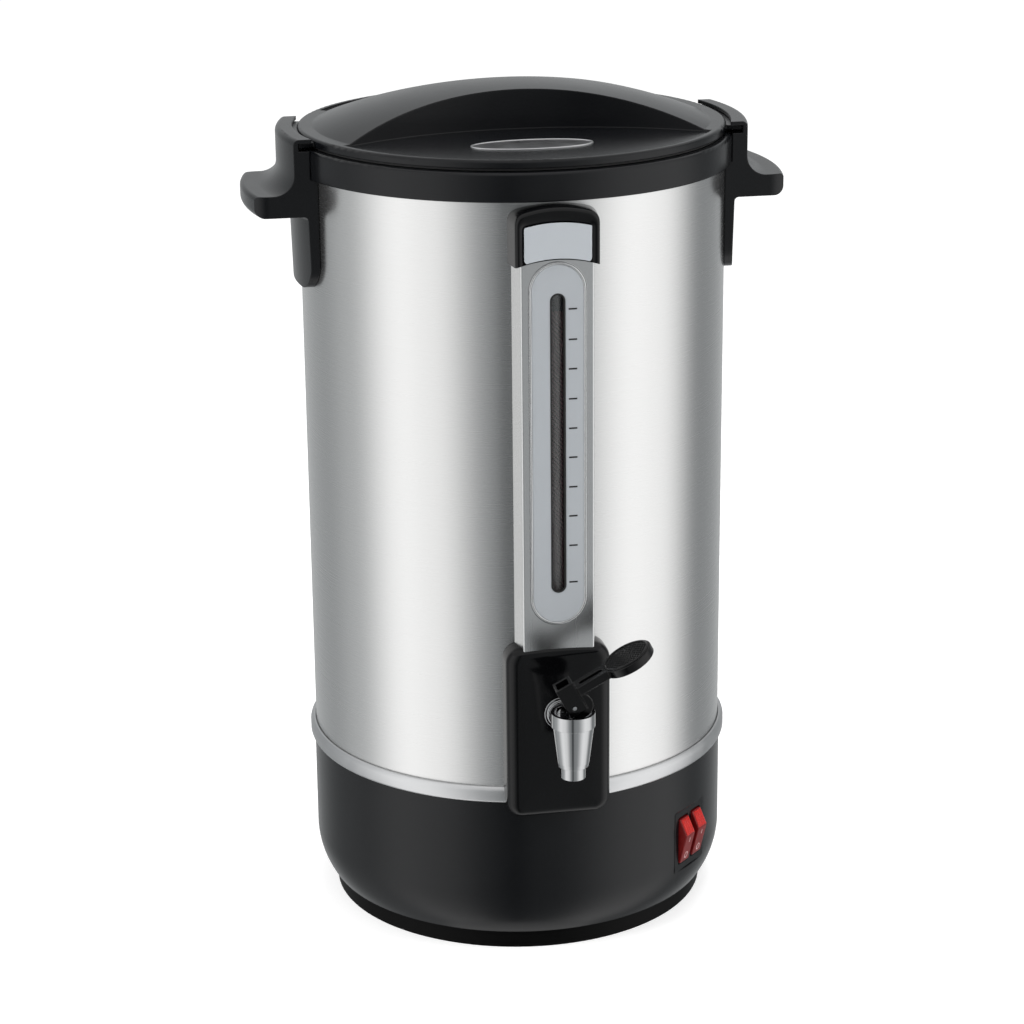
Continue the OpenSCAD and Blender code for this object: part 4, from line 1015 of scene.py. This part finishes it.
@dataclass
class GaugeCap:
    """Beaded cap over the top of the gauge, round a bare label plate."""

    builder: Builder
    node: str = "gauge_cap"
    plate: str = "cap_plate"
    half_mm: float = 28.5
    flare_mm: float = 1.9
    rise_mm: float = 5.1
    hollow_mm: float = 4.5
    corner_mm: float = 6.5
    plate_half_mm: float = 22.7
    plate_rise_mm: float = 2.8
    plate_hollow_mm: float = 3.1
    plate_corner_mm: float = 3.0
    jacket_mm: float = 150.6
    bead: tuple[tuple[float, float], ...] = (
        (0.0, 3.6), (0.03, 2.4), (0.09, 1.3), (0.18, 0.55), (0.29, 0.12), (0.40, 0.0),
        (0.52, 0.08), (0.66, 0.35), (0.80, 0.75), (0.92, 1.15), (1.0, 1.5), (1.0, 2.4))

    def build(self) -> None:
        """Loft the cap from the jacket over its bead to the plate's seat."""
        corners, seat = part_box(self.node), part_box(self.plate)
        low, high, front = corners[0].z / MM, corners[1].z / MM, corners[0].y / MM
        outer = ArchedOutline(self.half_mm, low, high, self.rise_mm, self.hollow_mm, self.corner_mm).points()
        inner = ArchedOutline(self.plate_half_mm, seat[0].z / MM - 0.5, seat[1].z / MM + 0.2,
                              self.plate_rise_mm, self.plate_hollow_mm, self.plate_corner_mm).points()
        spread = 1.0 + self.flare_mm / self.half_mm
        wide = [Vector((p.x * spread, p.y)) for p in outer]
        rings = [[Vector((p.x, -math.sqrt(self.jacket_mm ** 2 - p.x ** 2), p.y)) for p in wide]]
        for share, depth in self.bead:
            ring = [first.lerp(second, share) for first, second in zip(outer, inner)]
            rings.append([Vector((p.x, front + depth, p.y)) for p in ring])
        mesh = bmesh.new()
        rows = [[mesh.verts.new(point * MM) for point in ring] for ring in rings]
        stitch(mesh, rows)
        mesh.faces.new(rows[-1])
        piece = self.builder.piece("gauge_cap_cover", mesh, Ride.URN.value, "gloss_black", sharp_deg=50.0)
        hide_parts(self.node)


@dataclass
class LeverGrip:
    """Raised rim and stippled field on the tap lever's paddle."""

    builder: Builder
    pin_mm: Point = (0.0, -210.0, 214.3)
    rise_deg: float = 28.0
    top_mm: float = 12.0
    centre_mm: float = 47.25
    length_mm: float = 36.5
    width_mm: float = 34.0
    rim_inset_mm: float = 1.5
    rim_mm: float = 1.5
    rim_rise_mm: float = 0.7
    dot_mm: float = 0.85
    dot_rise_mm: float = 0.75
    pitch_mm: float = 2.4
    sides: int = 72

    def place(self) -> Matrix:
        """Frame of the paddle's top: along the lever, across it and up."""
        turn = Matrix.Rotation(-math.radians(self.rise_deg), 4, "Y")
        shift = Matrix.Translation(Vector(self.pin_mm))
        return Matrix.Scale(MM, 4) @ shift @ turn @ Matrix.Translation((self.centre_mm, 0.0, self.top_mm))

    def oval(self, inset: float, share: float) -> Point:
        """Point on the paddle's outline.

        Args:
            inset: distance inwards, in millimetres.
            share: way round the outline, from 0 to 1.

        Returns:
            The point on the paddle's top, in millimetres.
        """
        angle = 2 * math.pi * share
        half_long, half_wide = self.length_mm / 2 - inset, self.width_mm / 2 - inset
        return (half_long * math.cos(angle), half_wide * math.sin(angle), 0.0)

    def build(self) -> None:
        """Add the rim and the dots."""
        mesh = bmesh.new()
        start, end = self.rim_inset_mm, self.rim_inset_mm + self.rim_mm
        profile = [(start - 0.1, -0.3), (start, 0.4), (start + 0.4, self.rim_rise_mm),
                   (end - 0.3, self.rim_rise_mm), (end, 0.3), (end + 0.1, -0.3)]
        rows = []
        for inset, rise in profile:
            ring = [Vector(self.oval(inset, index / self.sides)) for index in range(self.sides)]
            rows.append([mesh.verts.new(point + Vector((0, 0, rise))) for point in ring])
        stitch(mesh, rows, ring=True)
        self.add_dots(mesh)
        bmesh.ops.transform(mesh, matrix=self.place(), verts=mesh.verts)
        self.builder.piece("lever_grip", mesh, Ride.LEVER.value, "black_plastic", sharp_deg=50.0,
                           finish="lever_black")

    def add_dots(self, mesh: bmesh.types.BMesh) -> None:
        """Stipple the field inside the rim.

        Args:
            mesh: mesh data that takes the dots.
        """
        inset = self.rim_inset_mm + self.rim_mm + self.dot_mm
        half_long, half_wide = self.length_mm / 2 - inset, self.width_mm / 2 - inset
        row_mm = self.pitch_mm * 0.866
        rows, columns = int(half_wide / row_mm), int(half_long / self.pitch_mm) + 1
        for row in range(-rows, rows + 1):
            shift = 0.5 * self.pitch_mm * (row % 2)
            for column in range(-columns, columns + 1):
                x, y = column * self.pitch_mm + shift, row * row_mm
                if (x / half_long) ** 2 + (y / half_wide) ** 2 < 1.0:
                    dome = Matrix.Translation((x, y, -0.1)) @ Matrix.Diagonal(
                        (self.dot_mm, self.dot_mm, self.dot_rise_mm + 0.1, 1.0))
                    bmesh.ops.create_icosphere(mesh, subdivisions=1, radius=1.0, matrix=dome)


@dataclass
class Rocker:
    """One red rocker with a ribbed lens and its signs."""

    builder: Builder
    side: Ride
    offset_mm: float
    outward: Point = (0.71934, -0.69466, 0.0)
    across: Point = (0.69466, 0.71934, 0.0)
    face_mm: float = 149.9
    height_mm: float = 62.0
    rocker_h_mm: float = 34.5
    ridge_mm: float = 6.6
    ridge_share: float = 0.15
    foot_mm: float = 1.0
    head_mm: float = 0.8
    width_mm: float = 12.0
    back_mm: float = 4.0
    edge_mm: float = 0.7
    rib_count: int = 4
    rib_mm: float = 0.7
    margin_mm: float = 0.9
    print_mm: float = 0.08
    bar_share: float = 0.2
    bar_mm: tuple[float, float] = (0.7, 3.6)
    ring_share: float = 0.76
    ring_outer_mm: tuple[float, float] = (2.3, 2.7)
    ring_inner_mm: tuple[float, float] = (1.6, 2.0)
    ring_sides: int = 40

    def face_frame(self, upper: bool) -> tuple[Matrix, float]:
        """Frame of a sloping face: across, along the slope away from the ridge and outwards.

        Args:
            upper: whether it is the face above the ridge.

        Returns:
            The frame at the ridge and the slope's length in millimetres.
        """
        half = self.rocker_h_mm / 2
        ridge = Vector((self.ridge_share * self.rocker_h_mm, self.ridge_mm))
        end = Vector((half, self.head_mm)) if upper else Vector((-half, self.foot_mm))
        slope = end - ridge
        length = slope.length
        slope.normalize()
        out, side, up = Vector(self.outward), Vector(self.across), Vector((0.0, 0.0, 1.0))
        along = up * slope.x + out * slope.y
        if not upper:
            side = -side
        normal = side.cross(along)
        spot = out * (self.face_mm + ridge.y) + up * (self.height_mm + ridge.x)
        spot += Vector(self.across) * self.offset_mm
        frame_axes = Matrix((side, along, normal)).transposed().to_4x4()
        return Matrix.Scale(MM, 4) @ Matrix.Translation(spot) @ frame_axes, length

    def build(self) -> None:
        """Build the rocker, then add its ribbed lens and its signs."""
        self.add_body()
        self.add_lens()
        self.add_signs()

    def add_body(self) -> None:
        """Extrude the rocker's side view and round its edges."""
        half, back = self.rocker_h_mm / 2, -self.back_mm
        side = [(half, self.head_mm), (self.ridge_share * self.rocker_h_mm, self.ridge_mm),
                (-half, self.foot_mm), (1.0 - half, back), (half - 1.0, back)]
        out, across, up = Vector(self.outward), Vector(self.across), Vector((0.0, 0.0, 1.0))
        spot = out * self.face_mm + up * self.height_mm + across * self.offset_mm
        mesh = bmesh.new()
        rows = [[mesh.verts.new((spot + across * x + up * rise + out * proud) * MM) for rise, proud in side]
                for x in (-self.width_mm / 2, self.width_mm / 2)]
        for row in rows:
            mesh.faces.new(row)
        for index in range(len(side)):
            after = (index + 1) % len(side)
            mesh.faces.new((rows[0][index], rows[0][after], rows[1][after], rows[1][index]))
        bmesh.ops.bevel(mesh, geom=mesh.edges[:], offset=self.edge_mm * MM, offset_type="OFFSET", segments=3,
                        profile=0.5, affect="EDGES")
        # The body's darker red is painted shade on the rocker's lower face and sides.
        piece = self.builder.piece(self.side.value + "_body", mesh, self.side.value, "rocker_red",
                                   weighted=True)
        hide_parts(self.side.value)

    def add_lens(self) -> None:
        """Lay a lens with ribs along its length on the face above the ridge, in a brighter red than the body:
        painted light on the upper face.
        """
        place, length = self.face_frame(True)
        half = self.width_mm / 2 - self.margin_mm
        steps = 8 * self.rib_count
        mesh = bmesh.new()
        rows = []
        for y, sunk in ((self.margin_mm - 0.3, 0.5), (self.margin_mm, 0.0), (length - self.margin_mm, 0.0),
                        (length - self.margin_mm + 0.3, 0.5)):
            row = []
            for step in range(steps + 1):
                wave = abs(math.sin(math.pi * self.rib_count * step / steps))
                rise = self.rib_mm * wave + 0.1 - sunk
                row.append(mesh.verts.new((half * (2 * step / steps - 1), y, rise)))
            rows.append(row)
        for lower, upper in zip(rows, rows[1:]):
            for step in range(steps):
                mesh.faces.new((lower[step], lower[step + 1], upper[step + 1], upper[step]))
        bmesh.ops.transform(mesh, matrix=place, verts=mesh.verts)
        # The lens's brighter red is painted light on the rocker's upper face.
        self.builder.piece(self.side.value + "_lens", mesh, self.side.value, "rocker_red", sharp_deg=70.0,
                           finish="rocker_lens_painted_light")

    def add_signs(self) -> None:
        """Print a bar near the ridge and a ring near the foot."""
        place, length = self.face_frame(False)
        mesh = bmesh.new()
        bar = Matrix.Translation((0.0, self.bar_share * length, self.print_mm / 2))
        bar @= Matrix.Diagonal((*self.bar_mm, self.print_mm, 1.0))
        bmesh.ops.create_cube(mesh, size=1.0, matrix=bar)
        centre = self.ring_share * length
        angles = [2 * math.pi * i / self.ring_sides for i in range(self.ring_sides)]
        outer, inner, high = self.ring_outer_mm, self.ring_inner_mm, self.print_mm
        rows = []
        for (wide, tall), rise in ((outer, 0.0), (outer, high), (inner, high), (inner, 0.0)):
            rows.append([mesh.verts.new((wide * math.cos(angle), centre + tall * math.sin(angle), rise))
                         for angle in angles])
        stitch(mesh, rows, ring=True)
        bmesh.ops.transform(mesh, matrix=place, verts=mesh.verts)
        self.builder.piece(self.side.value + "_signs", mesh, self.side.value, "silicone", finish="sign_print")


@dataclass
class LidPlate:
    """Bare oval plate in the lid's front finger recess."""

    builder: Builder
    centre_mm: Point = (-2.0, -88.0, 571.0)
    length_mm: float = 84.0
    width_mm: float = 35.0
    rim_mm: float = 1.6
    thick_mm: float = 0.8
    sides: int = 96

    def build(self) -> None:
        """Add a plate with a raised bright rim."""
        for name, slot, profile in (
                ("lid_plate_rim", "satin_trim", [(0.0, -0.2), (0.0, 0.5), (0.3, self.thick_mm),
                                                 (self.rim_mm - 0.3, self.thick_mm), (self.rim_mm, 0.4)]),
                ("lid_plate", "hardware_steel", [(self.rim_mm - 0.2, -0.2), (self.rim_mm - 0.1, 0.45),
                                                 (6.0, 0.5)])):
            mesh = bmesh.new()
            rows = []
            for inset, rise in profile:
                ring = []
                for index in range(self.sides):
                    angle = 2 * math.pi * index / self.sides
                    ring.append(mesh.verts.new((Vector(self.centre_mm) + Vector((
                        (self.length_mm / 2 - inset) * math.cos(angle),
                        (self.width_mm / 2 - inset) * math.sin(angle), rise))) * MM))
                rows.append(ring)
            stitch(mesh, rows)
            if name == "lid_plate":
                mesh.faces.new(rows[-1])
            finish = "plate_bare" if name == "lid_plate" else ""
            self.builder.piece(name, mesh, Ride.LID.value, slot, finish=finish)


ROUNDED_EDGES_MM: dict[str, float] = {
    "switch_plate": 0.4, "tap_flange": 0.4, "cap_plate": 0.3, "slot_trim": 0.3,
    "trim_band": 0.8, "gauge_channel": 0.6, "inlet_socket": 0.6}
TURNED_ABOUT_Y_MM: dict[str, float] = {
    "outer_body": 0.0, "base_housing": 0.0, "collar": 0.0, "foot_ring": 0.0, "tap_body": -210.0}


def main() -> None:
    """Build the studio, dress the frame and add the fine details."""
    logging.basicConfig(level=logging.INFO, format="%(name)s: %(message)s")
    book = FinishBook()
    builder = Builder(book)
    Studio().build()
    book.dress_frame()
    for node, radius in ROUNDED_EDGES_MM.items():
        builder.rounded(node, radius)
    for node, axis_y in TURNED_ABOUT_Y_MM.items():
        builder.turned(node, axis_y)
    builder.rounded("tap_lever", 0.6, finish="lever_black")
    TapShield(builder).build()
    GaugeCap(builder).build()
    LeverGrip(builder).build()
    Rocker(builder, Ride.ROCKER_LEFT, -8.6).build()
    Rocker(builder, Ride.ROCKER_RIGHT, 8.6).build()
    GaugeMarks(builder).build()
    LidPlate(builder).build()


if __name__ == "__main__":
    main()
